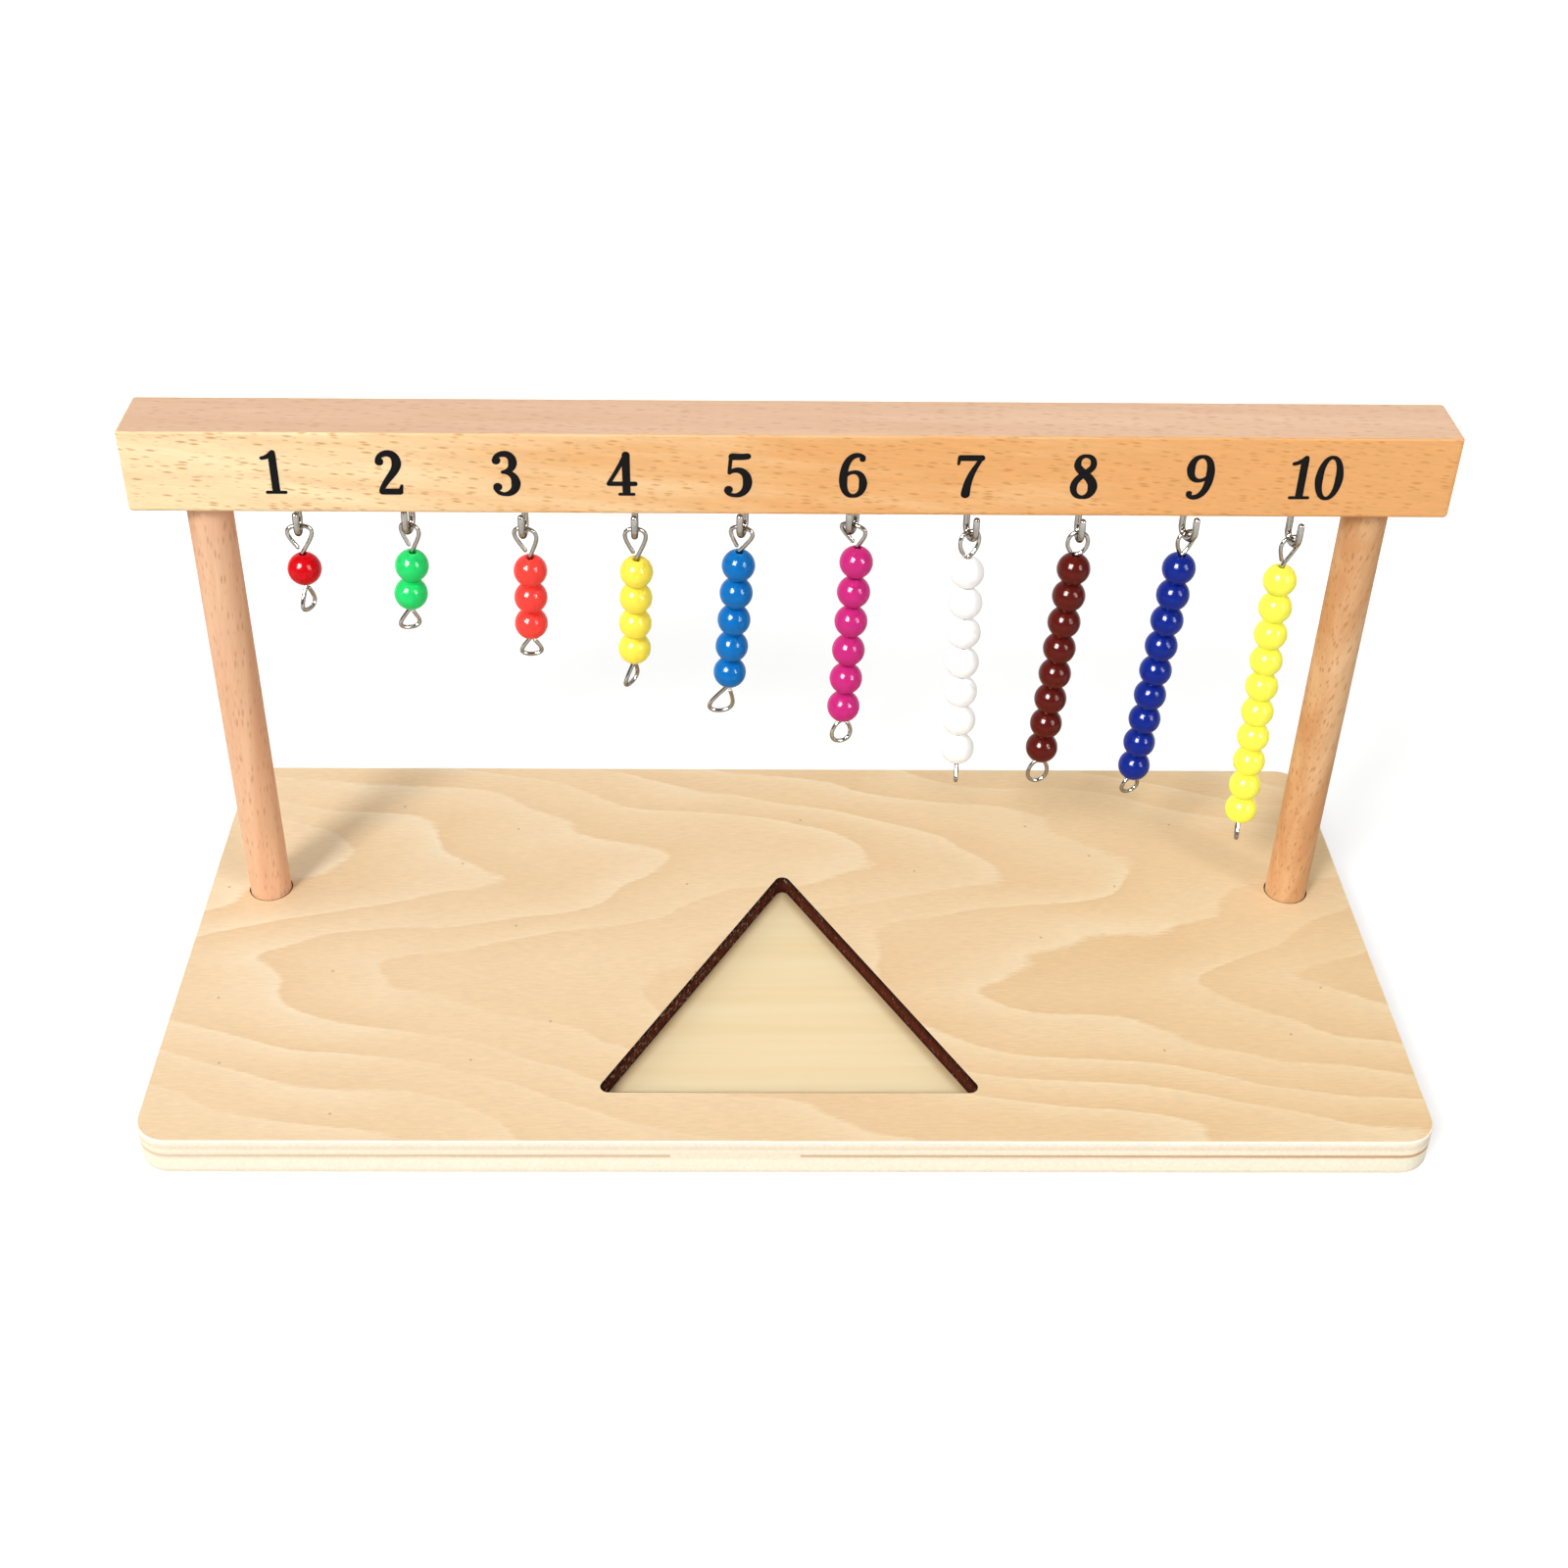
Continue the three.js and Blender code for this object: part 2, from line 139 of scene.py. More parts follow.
print("mid grey in linear light", round(linear("#808080")[0], 3))

# %% What the materials share
WHITE = "#ffffff"
LEFT_TO_RIGHT = {"From Min": -0.15, "From Max": 0.15}
NOISE_RANGE = {"From Min": 0.3, "From Max": 0.7}
RELIEF_DEPTH = 0.2
WOOD_IOR = 1.45
WOOD_GLOSS = 0.03


def start_material(name):
    """An empty material: its node tree, its Principled shader and its Object coordinates."""
    material = bpy.data.materials.new(name)
    material.use_nodes = True
    tree = material.node_tree
    coordinates = add(tree, "TexCoord", {}).outputs["Object"]
    return material, tree, tree.nodes["Principled BSDF"], coordinates


def per_metre(sizes):
    """How often each size in millimetres goes into a metre: 1 / size. It scales a pattern to those sizes."""
    return [1 / (size * MM) for size in sizes]


def stretched_noise(tree, place, sizes, inputs):
    """Noise at place / size on each axis, so that its spots are as large as the sizes."""
    scaled = add(tree, "Mapping", {"Vector": place, "Scale": per_metre(sizes)})
    return add(tree, "TexNoise", {"Vector": scaled, "Scale": 1, **inputs})


def toned(tree, colour, noise, low, high):
    """Colour * tone, where the tone goes from low to high over the middle of the noise."""
    tone = add(tree, "MapRange", {"Value": noise, **NOISE_RANGE, "To Min": low, "To Max": high})
    return add(tree, "Mix", {"Factor": 1.0, "A": colour, "B": tone}, data_type="RGBA", blend_type="MULTIPLY")


def finish_wood(tree, shader, colour, grain, dullness, strength, ior):
    """Roughness = first dullness + grain * (second - first). The bump is as high as the grain."""
    rough = add(tree, "MapRange", {"Value": grain, "To Min": dullness[0], "To Max": dullness[1]})
    relief = add(tree, "Bump", {"Height": grain, "Strength": strength, "Distance": RELIEF_DEPTH * MM})
    connect(tree, shader, {
        "Base Color": colour, "Roughness": rough, "Normal": relief,
        "IOR": ior, "Specular IOR Level": WOOD_GLOSS,
    })


print("a pattern of 4 mm repeats", per_metre([4]), "times in a metre")

# %% [markdown]
# ## Studio light
#
# Each bead in the photograph carries two highlights, a square one on its left and a dimmer one on its
# right. A highlight at a third of the radius means a lamp at about 36 degrees from the camera, and one at
# 0.4 of the radius means about 47 degrees. So two softboxes stand there, at about the camera's height.
# The highlights' size and brightness say that the real lamps were large and burnt the picture out. To
# keep the colours as written, each softbox is split in two here: a gentle lamp for the light, and a large
# one that shows only in shine.

# %% Two softboxes
OBJECT_CENTRE = np.array([0, 0, 70])
LAMP_DISTANCE = 4000


def softbox(name, azimuth, elevation, width, height, power, shine):
    """A lamp at distance * (sin a cos e, -cos a cos e, sin e) from the stand, for light or for shine."""
    turn, rise = math.radians(azimuth), math.radians(elevation)
    back = np.array([math.sin(turn) * math.cos(rise), -math.cos(turn) * math.cos(rise), math.sin(rise)])
    data = bpy.data.lights.new(name, "AREA")
    data.shape = "RECTANGLE"
    data.size = width * MM
    data.size_y = height * MM
    data.energy = power
    lamp = bpy.data.objects.new(name, data)
    upright = Matrix.Rotation(turn, 4, "Z") @ Matrix.Rotation(math.radians(90) - rise, 4, "X")
    lamp.matrix_world = Matrix.Translation((OBJECT_CENTRE + LAMP_DISTANCE * back) * MM) @ upright
    lamp.visible_camera = False
    lamp.visible_diffuse = not shine
    lamp.visible_glossy = shine
    bpy.context.scene.collection.objects.link(lamp)


softbox("left_light", azimuth=-34, elevation=40, width=900, height=1080, power=90, shine=False)
softbox("right_light", azimuth=47, elevation=27, width=670, height=1680, power=33, shine=False)
softbox("left_shine", azimuth=-36, elevation=40, width=1700, height=2000, power=1200, shine=True)
softbox("right_shine", azimuth=47, elevation=27, width=950, height=1900, power=420, shine=True)
print("lamps at", LAMP_DISTANCE, "mm:", len(bpy.data.lights))

# %% [markdown]
# Everything round the stand is pale, as in a light tent: its walls glow more than its back, the left one
# most. The camera sees the tent as plain white. Shine sees it white at the back and dim towards the
# camera, where a room is dark. The floor is grey paper that keeps the shadow, with enough light of its
# own to look white.

# %% The light tent
AMBIENT = 0.41
WALL_GLOW = 0.47
LEFT_WALL_GLOW = 0.5
DIM_SIDE = 0.16
DIM_UNTIL = -0.1
WHITE_FROM = 0.8


def kinds_of_ray(tree):
    """One number is 1 for rays from the camera, the other is 1 for rays off or through something shiny."""
    rays = add(tree, "LightPath", {}).outputs
    mirrored = add(tree, "Math", {
        0: rays["Is Glossy Ray"], 1: rays["Is Transmission Ray"],
    }, operation="MAXIMUM")
    return rays["Is Camera Ray"], mirrored


world = bpy.data.worlds.new("light_tent")
world.use_nodes = True
bpy.context.scene.world = world
room = world.node_tree
room.nodes.clear()
seen, mirrored = kinds_of_ray(room)
direction = add(room, "NewGeometry", {}).outputs["Position"]
towards = add(room, "SeparateXYZ", {0: direction}).outputs
sideways = add(room, "Math", {0: towards["X"]}, operation="ABSOLUTE")
both_walls = add(room, "Math", {0: sideways, 1: WALL_GLOW, 2: AMBIENT}, operation="MULTIPLY_ADD")
tent_light = add(room, "Math", {0: towards["X"], 1: -LEFT_WALL_GLOW, 2: both_walls}, operation="MULTIPLY_ADD")
room_side = add(room, "MapRange", {
    "Value": towards["Y"], "From Min": DIM_UNTIL, "From Max": WHITE_FROM, "To Min": DIM_SIDE, "To Max": 1.0,
}, interpolation_type="SMOOTHSTEP")
soft_or_mirror = add(room, "Mix", {"Factor": mirrored, "A": tent_light, "B": room_side})
strength = add(room, "Mix", {"Factor": seen, "A": soft_or_mirror, "B": 1.0})
background = add(room, "Background", {"Color": WHITE, "Strength": strength})
add(room, "OutputWorld", {"Surface": background})
bpy.context.scene.view_settings.view_transform = "Standard"
print("tent", len(room.nodes), "nodes")

# %% The floor
FLOOR_HALF = 4000
FLOOR_DROP = 0.15
FLOOR_LIFT = 0.62
SHADOW_REACH = (220, 420)
PAPER_GREY = "#b6b6b6"

floor_material = bpy.data.materials.new("white_studio_paper")
floor_material.use_nodes = True
paper = floor_material.node_tree
paper.nodes.clear()
seen, mirrored = kinds_of_ray(paper)
seen_or_mirrored = add(paper, "Math", {0: seen, 1: mirrored}, operation="MAXIMUM")
place_on_floor = add(paper, "TexCoord", {}).outputs["Object"]
from_stand = add(paper, "VectorMath", {0: place_on_floor}, operation="LENGTH")
whiteness = add(paper, "MapRange", {
    "Value": from_stand, "From Min": SHADOW_REACH[0] * MM, "From Max": SHADOW_REACH[1] * MM,
    "To Min": FLOOR_LIFT, "To Max": 1.0,
})
lift = add(paper, "Math", {0: seen_or_mirrored, 1: whiteness}, operation="MULTIPLY")
lifted = add(paper, "Emission", {"Color": WHITE, "Strength": lift})
matt = add(paper, "BsdfDiffuse", {"Color": PAPER_GREY})
both = add(paper, "AddShader", {0: lifted, 1: matt})
add(paper, "OutputMaterial", {"Surface": both})

corners = FLOOR_HALF * np.array([[-1.0, -1.0], [1.0, -1.0], [1.0, 1.0], [-1.0, 1.0]])
floor_points = np.insert(corners, 2, -FLOOR_DROP, axis=1) * MM
floor_mesh = bpy.data.meshes.new("studio_floor")
floor_mesh.from_pydata(floor_points.tolist(), [], [[0, 1, 2, 3]])
floor_mesh.materials.append(floor_material)
floor = bpy.data.objects.new("studio_floor", floor_mesh)
bpy.context.scene.collection.objects.link(floor)
print("floor", 2 * FLOOR_HALF, "mm square,", len(paper.nodes), "nodes")

# %% [markdown]
# ## Surfaces from grids
#
# Nearly every piece here is a ring of points carried along something: the edge of a board carried up its
# wall, a circle carried along a bent wire, a half circle turned about an axis. A grid of points holds all
# of these, with one row for each ring. The quads between the rows come from index arithmetic, so no loop
# visits a vertex. Where rings of different parts meet, equal points are merged and the mesh is closed.

# %% Rings, quads and pieces
MERGE_DISTANCE = 1e-7


def ring_faces(rows, columns, close_rows=False):
    """Quads between a grid's rings, facing out when a ring runs anticlockwise seen from the last one."""
    row = np.arange(rows if close_rows else rows - 1)[:, None]
    column = np.arange(columns)[None, :]
    next_row = (row + 1) % rows
    next_column = (column + 1) % columns
    quads = np.stack([
        row * columns + column,
        row * columns + next_column,
        next_row * columns + next_column,
        next_row * columns + column,
    ], axis=-1)
    return quads.reshape(-1, 4)


def make_piece(name, parts, materials, body, replaced):
    """One object at the origin from parts of (points in mm, faces, material number, smooth)."""
    starts = np.cumsum([0] + [len(part[0]) for part in parts])
    faces = []
    for start, part in zip(starts, parts):
        faces += (np.asarray(part[1]) + start).tolist()
    counts = [len(part[1]) for part in parts]
    mesh = bpy.data.meshes.new(name)
    mesh.from_pydata((np.concatenate([part[0] for part in parts]) * MM).tolist(), [], faces)
    mesh.polygons.foreach_set("material_index", np.repeat([part[2] for part in parts], counts))
    mesh.polygons.foreach_set("use_smooth", np.repeat([part[3] for part in parts], counts))
    for material in materials:
        mesh.materials.append(material)

    merged = bmesh.new()
    merged.from_mesh(mesh)
    bmesh.ops.remove_doubles(merged, verts=merged.verts, dist=MERGE_DISTANCE)
    merged.to_mesh(mesh)
    merged.free()

    piece = bpy.data.objects.new(name, mesh)
    bpy.context.scene.collection.objects.link(piece)
    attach(piece, body)
    if replaced:
        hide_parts(*replaced)
    return piece


def box_mm(node):
    """Lowest and highest corner of a node in millimetres."""
    low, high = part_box(node)
    return np.array(low) / MM, np.array(high) / MM


print("quads between two rings of four", ring_faces(2, 4).tolist())

# %% [markdown]
# ## Boards
#
# The base, the posts and the beam are all boards in this sense: an outline with a height. Their edges
# were broken with sandpaper, so light runs along a narrow rounded arris instead of a hard line. A cube
# with a Bevel modifier would do for a plain board, but the tray and the drillings would spoil its edges.
# So each outline is built from arcs, and a small profile of inset and height carries it up the wall.

# %% Outlines and walls
ARC_STEPS = 13
ARRIS_STEPS = 5
SUPPORT = 0.06


def arc_outline(centres, first_angles, sweeps, radius, steps=ARC_STEPS):
    """Arcs joined by lines: centre + radius * (cos a, sin a). Gives points and outward directions."""
    shares = np.linspace(0, 1, steps)
    angles = np.radians(np.asarray(first_angles)[:, None] + np.asarray(sweeps)[:, None] * shares)
    outward = np.stack([np.cos(angles), np.sin(angles)], axis=-1)
    points = np.asarray(centres, float)[:, None, :] + radius * outward
    return points.reshape(-1, 2), outward.reshape(-1, 2)


def rounded_rectangle(low, high, radius):
    """A rectangle between two corners, with a quarter arc at each of its own."""
    x = [high[0] - radius, low[0] + radius]
    y = [high[1] - radius, low[1] + radius]
    centres = [(x[0], y[0]), (x[1], y[0]), (x[1], y[1]), (x[0], y[1])]
    return arc_outline(centres, [0, 90, 180, 270], [90] * 4, radius)


def circle(centre, radius, sides):
    """A circle of separate points that closes on itself."""
    return arc_outline([centre], [0], [360 * (sides - 1) / sides], radius, sides)


def edge_profile(low, high, low_arris, high_arris):
    """Inset and height up a wall: r (1 - cos t), r (1 - sin t) at each edge, and rings that keep it flat."""
    turn = np.radians(np.linspace(0, 90, ARRIS_STEPS))
    inset, rise = 1 - np.cos(turn), 1 - np.sin(turn)
    foot = np.stack([low_arris * inset, low + low_arris * rise], axis=1)[::-1]
    head = np.stack([high_arris * inset, high - high_arris * rise], axis=1)
    flat = [[0, low + low_arris + SUPPORT], [0, high - high_arris - SUPPORT]]
    return np.concatenate([foot, flat, head])


def carried_wall(outline, profile, hole=False):
    """The outline carried up a profile: point - inset * outward at each height, or + in a hole."""
    points, outward = outline
    inset, height = profile.T
    side = 1 if hole else -1
    rings = points[None] + side * inset[:, None, None] * outward[None]
    heights = np.broadcast_to(height[:, None, None], (*rings.shape[:2], 1))
    grid = np.concatenate([rings, heights], axis=-1)
    faces = ring_faces(*grid.shape[:2])
    return grid, faces[:, ::-1] if hole else faces


print("rings up a 5 mm wall", len(edge_profile(0, 5, 0.3, 0.3)))

# %% Flat faces and boards
def flat_face(loops, upward):
    """Triangles over the first loop less its holes, turned if their cross product has the wrong sign."""
    points = np.concatenate(loops)
    triangles = np.array(tessellate_polygon([loop.tolist() for loop in loops]))
    first, second, third = points[triangles].transpose(1, 0, 2)
    one_side, other_side = second - first, third - first
    turn = one_side[:, 0] * other_side[:, 1] - one_side[:, 1] * other_side[:, 0]
    wrong = (turn > 0) != upward
    triangles[wrong] = triangles[wrong][:, ::-1]
    return points, triangles


def board_parts(outline, profile, through=(), blind=(), face=0, wall=0):
    """Wall, holes, top and underside. A hole is (outline, profile, material); a blind one has an end."""
    grid, faces = carried_wall(outline, profile)
    parts = [(grid.reshape(-1, 3), faces, wall, True)]
    top, underside = [grid[-1]], [grid[0]]
    for order, (hole_outline, hole_profile, hole_material) in enumerate([*through, *blind]):
        hole_grid, hole_faces = carried_wall(hole_outline, hole_profile, hole=True)
        parts.append((hole_grid.reshape(-1, 3), hole_faces, hole_material, True))
        underside.append(hole_grid[0])
        if order < len(through):
            top.append(hole_grid[-1])
        else:
            parts.append((*flat_face([hole_grid[-1]], upward=False), hole_material, False))
    parts.append((*flat_face(top, upward=True), face, False))
    parts.append((*flat_face(underside, upward=False), face, False))
    return parts


plain_board = board_parts(rounded_rectangle((0, 0), (60, 20), 2), edge_profile(0, 5, 0.3, 0.3))
print("faces of a plain board: wall, top, underside", [len(part[1]) for part in plain_board])

# %% [markdown]
# ## Basswood veneer
#
# The base is basswood plywood. Its face is peeled from the log in one long sheet, so the knife cuts each
# growth ring at a shallow angle and the rings show as wide tongues, like the lines of a map. An image
# would be the usual way. Here a slope with one wave across it and some slow noise plays the height of the
# land: the tongues of the wave's crest point right at the back, and those of its trough point left at the
# front. The contour lines are the ring borders. A colour ramp runs from one to the next: cream at the
# line, deepening to peach, then quickly back to cream. The fibres fray the line, and it is faint in places.
# The sheet turns yellower and a little darker to the right, partly its own tone and partly painted shade.
# Matt lacquer leaves it dull, with a few pin knots.

# %% The rings of the veneer
RING_LENGTH = 45
WAVE_WIDTH = 112
WAVE_MIDDLE = 8
WAVE_RINGS = 1.5
FRONT_RING_WIDTH = 70
WANDER_SIZE = (70, 26, 1000)
WANDER_RINGS = 2.6
FRAYED_RINGS = 0.08


def ring_height(tree, place_on_board, fibres):
    """Sum: rings * sin(2 pi (y - middle) / width) - x / length - y / front width + noise + fibres."""
    across = add(tree, "SeparateXYZ", {0: place_on_board}).outputs
    turn_per_metre = 2 * math.pi / (WAVE_WIDTH * MM)
    phase = add(tree, "Math", {
        0: across["Y"], 1: turn_per_metre, 2: -WAVE_MIDDLE * MM * turn_per_metre,
    }, operation="MULTIPLY_ADD")
    wave = add(tree, "Math", {0: phase}, operation="SINE")
    wander = stretched_noise(tree, place_on_board, WANDER_SIZE, {"Detail": 2, "Roughness": 0.3})
    height = 0.0
    for part, rings in (
        (across["X"], -1 / (RING_LENGTH * MM)), (across["Y"], -1 / (FRONT_RING_WIDTH * MM)),
        (wave, WAVE_RINGS), (wander, WANDER_RINGS), (fibres, FRAYED_RINGS),
    ):
        height = add(tree, "Math", {0: part, 1: rings, 2: height}, operation="MULTIPLY_ADD")
    return height


print("rings", RING_LENGTH, "mm apart on a wave", WAVE_WIDTH, "mm wide")

# %% Material: basswood veneer
RING_TONES = [(0.14, "#f3dbb7"), (0.45, "#f0d4ad"), (0.94, "#ebcba1")]
RING_BORDER = "#f6e1c1"
FADE_SIZE = 55
FADE_RANGE = {"From Min": 0.35, "From Max": 0.65, "To Min": 0.75, "To Max": 0.0}
RIGHT_TONE = "#fbf7ed"
# Wood fibres are finer, and are drawn as coarse as they need to be to show
FIBRE_SIZE = (3.5, 0.55, 0.55)
KNOT_SPACING = 42
KNOT_RADIUS = 0.5
KNOT_CORE = 0.3
KNOT_BROWN = "#6b5640"


def basswood_veneer():
    """A ramp over the height's fraction past a whole ring, times the sheet's tone with its painted shade and
    the fibres' tone.
    """
    material, tree, shader, place_on_board = start_material("basswood_veneer")
    fibres = stretched_noise(tree, place_on_board, FIBRE_SIZE, {"Detail": 4, "Roughness": 0.65})
    ring = add(tree, "Math", {0: ring_height(tree, place_on_board, fibres)}, operation="FRACT")
    tones = add(tree, "ValToRGB", {"Fac": ring})
    for end in tones.color_ramp.elements:
        end.color = linear(RING_BORDER)
    for level, hex_colour in RING_TONES:
        tones.color_ramp.elements.new(level).color = linear(hex_colour)
    patches = add(tree, "TexNoise", {"Vector": place_on_board, "Scale": 1 / (FADE_SIZE * MM), "Detail": 1})
    faintness = add(tree, "MapRange", {"Value": patches, **FADE_RANGE})
    colour = add(tree, "Mix", {
        "Factor": faintness, "A": tones, "B": RING_TONES[1][1],
    }, data_type="RGBA")

    # The sheet turns yellower and a little darker to the right: partly its own tone, partly painted shade
    left_right = add(tree, "SeparateXYZ", {0: place_on_board}).outputs["X"]
    to_right = add(tree, "MapRange", {"Value": left_right, **LEFT_TO_RIGHT})
    sheet_tone_and_shade = add(tree, "Mix", {"Factor": to_right, "A": WHITE, "B": RIGHT_TONE}, data_type="RGBA")
    colour = add(tree, "Mix", {
        "Factor": 1.0, "A": colour, "B": sheet_tone_and_shade,
    }, data_type="RGBA", blend_type="MULTIPLY")
    colour = toned(tree, colour, fibres, low=0.93, high=1.045)
    knots = add(tree, "TexVoronoi", {
        "Vector": place_on_board, "Scale": 1 / (KNOT_SPACING * MM),
    }, voronoi_dimensions="2D")
    knot = add(tree, "MapRange", {
        "Value": knots, "From Min": KNOT_CORE * KNOT_RADIUS / KNOT_SPACING,
        "From Max": KNOT_RADIUS / KNOT_SPACING, "To Min": 0.45, "To Max": 0,
    })
    colour = add(tree, "Mix", {"Factor": knot, "A": colour, "B": KNOT_BROWN}, data_type="RGBA")
    finish_wood(tree, shader, colour, fibres, dullness=(0.5, 0.68), strength=0.12, ior=WOOD_IOR)
    return material


veneer = basswood_veneer()
print("veneer", len(veneer.node_tree.nodes), "nodes")

# %% [markdown]
# ## The floor of the tray
#
# The lower board is the same plywood with its plainer side up: paler, more yellow and almost without
# figure, so it gets a quieter material of its own with faint straight streaks. Smoke from the laser left
# a brown haze along the tray's walls, and the haze is also painted shade at the walls' foot. Each wall is a
# straight line on this board, so a dot product gives the distance to it.

# %% Material: plain basswood
STREAK_SIZE = (90, 3.5, 3.5)
PLAIN_TONES = ("#eed8aa", "#f3dfb6")
SMOKE_AND_SHADE_REACH = 3.2
SMOKE_AND_SHADE_BROWN = "#b08a58"


def plain_basswood(walls):
    """Streaks along X; smoke haze and painted shade where the least of (inward normal . place - offset) over
    the walls is small.
    """
    material, tree, shader, place_on_board = start_material("plain_basswood")
    streaks = stretched_noise(tree, place_on_board, STREAK_SIZE, {"Detail": 3, "Roughness": 0.55})
    streak = add(tree, "MapRange", {"Value": streaks, **NOISE_RANGE})
    deep, pale = PLAIN_TONES
    clean = add(tree, "Mix", {"Factor": streak, "A": deep, "B": pale}, data_type="RGBA")
    nearest = SMOKE_AND_SHADE_REACH * MM
    for normal, offset in walls:
        reach = add(tree, "VectorMath", {0: place_on_board, 1: (*normal, 0)}, operation="DOT_PRODUCT")
        inwards = add(tree, "Math", {0: reach, 1: offset * MM}, operation="SUBTRACT")
        nearest = add(tree, "Math", {0: inwards, 1: nearest}, operation="MINIMUM")
    # Smoke and painted shade: the floor darkens towards the foot of each wall
    smoke_and_shade = add(tree, "MapRange", {
        "Value": nearest, "From Max": SMOKE_AND_SHADE_REACH * MM, "To Min": 0.6, "To Max": 0,
    }, interpolation_type="SMOOTHSTEP")
    colour = add(tree, "Mix", {"Factor": smoke_and_shade, "A": clean, "B": SMOKE_AND_SHADE_BROWN}, data_type="RGBA")
    finish_wood(tree, shader, colour, streaks, dullness=(0.52, 0.66), strength=0.08, ior=WOOD_IOR)
    return material


print("streaks of the plain side", STREAK_SIZE, "mm")

# %% [markdown]
# ## The plies in the edge
#
# A sawn plywood edge shows its plies as stripes. Most are pale, a thin one near each face is light brown,
# and one brown ply lies just above the seam between the two boards, deeper to the right. It is broken off
# for a stretch at the front, where a gap in the inner ply was left. Height decides the stripe, so a
# colour ramp over Z is the plainest way.

# %% Material: plywood edge
BASE_HEIGHT = 10
PLIES = [
    (0.0, "#fbf0da"), (0.6, "#f5e6ca"), (1.2, "#fef5de"), (4.2, "#fff7e0"), (4.7, "#faebd0"),
    (6.2, "#fcedd2"), (7.0, "#fff4de"), (7.6, "#f7e6c9"), (8.3, "#f8e8cc"), (9.0, "#fff5e2"),
    (10.0, "#fff8e8"),
]
BROWN_PLY = (4.95, 5.85)
BROWN_PLY_GAP = (-27, 3)
PLY_BROWN = "#d3a97e"
# The pores of the end grain are finer, and are drawn as coarse as they need to be to show
GRAIN_DOT = 0.7


def plywood_edge():
    """A ramp over z / height. The brown ply is a product of ones and zeros: z in range, x beside the gap."""
    material, tree, shader, place_on_edge = start_material("plywood_edge")
    across = add(tree, "SeparateXYZ", {0: place_on_edge}).outputs
    height = add(tree, "Math", {0: across["Z"], 1: 1 / (BASE_HEIGHT * MM)}, operation="MULTIPLY")
    stripes = add(tree, "ValToRGB", {"Fac": height})
    stripes.color_ramp.elements[0].color = linear(PLIES[0][1])
    stripes.color_ramp.elements[1].color = linear(PLIES[-1][1])
    for level, hex_colour in PLIES[1:-1]:
        stripes.color_ramp.elements.new(level / BASE_HEIGHT).color = linear(hex_colour)

    above = add(tree, "Math", {0: height, 1: BROWN_PLY[0] / BASE_HEIGHT}, operation="GREATER_THAN")
    below = add(tree, "Math", {0: height, 1: BROWN_PLY[1] / BASE_HEIGHT}, operation="LESS_THAN")
    before = add(tree, "Math", {0: across["X"], 1: BROWN_PLY_GAP[0] * MM}, operation="LESS_THAN")
    after = add(tree, "Math", {0: across["X"], 1: BROWN_PLY_GAP[1] * MM}, operation="GREATER_THAN")
    beside_gap = add(tree, "Math", {0: before, 1: after}, operation="ADD")
    toning = add(tree, "MapRange", {"Value": across["X"], **LEFT_TO_RIGHT, "To Min": 0.4, "To Max": 1})
    brown = above
    for share in (below, beside_gap, toning):
        brown = add(tree, "Math", {0: brown, 1: share}, operation="MULTIPLY")
    laid = add(tree, "Mix", {"Factor": brown, "A": stripes, "B": PLY_BROWN}, data_type="RGBA")

    dots = add(tree, "TexNoise", {
        "Vector": place_on_edge, "Scale": 1 / (GRAIN_DOT * MM), "Detail": 2, "Roughness": 0.6,
    })
    colour = toned(tree, laid, dots, low=0.94, high=1.03)
    relief = add(tree, "Bump", {"Height": dots, "Strength": 0.15, "Distance": RELIEF_DEPTH * MM})
    connect(tree, shader, {
        "Base Color": colour, "Roughness": 0.7, "Normal": relief,
        "IOR": WOOD_IOR, "Specular IOR Level": WOOD_GLOSS,
    })
    return material


sawn_edge = plywood_edge()
print("edge", len(PLIES), "levels and one brown ply")

# %% [markdown]
# ## Scorched walls
#
# The tray was cut by laser, which chars the wood: the walls are chocolate brown with fine upright streaks
# from the beam's pulses. They are blackest along the rim and along the floor, partly char and partly
# painted shade. Here and there the char has flaked off and ash shows, more of it on the left wall. Height
# and place decide all this, so no mask has to be painted.

# %% Material: laser-scorched wood
# The beam's pulses are closer together, and are drawn as coarse as they need to be to show
PULSE_SIZE = (0.5, 0.5, 6)
CHAR_TONES = ("#1d0905", "#6b2d15")
WALL_MIDDLE = 7.3
WALL_REACH = 2.7
WALL_EVEN = 0.2
CHIP_SIZE = 1.1
CHIPS_CHANGE = {"From Min": -0.012, "From Max": 0.012, "To Min": 0.54, "To Max": 0.62}
CHIP_EDGE = 0.12
ASH = "#8d776a"


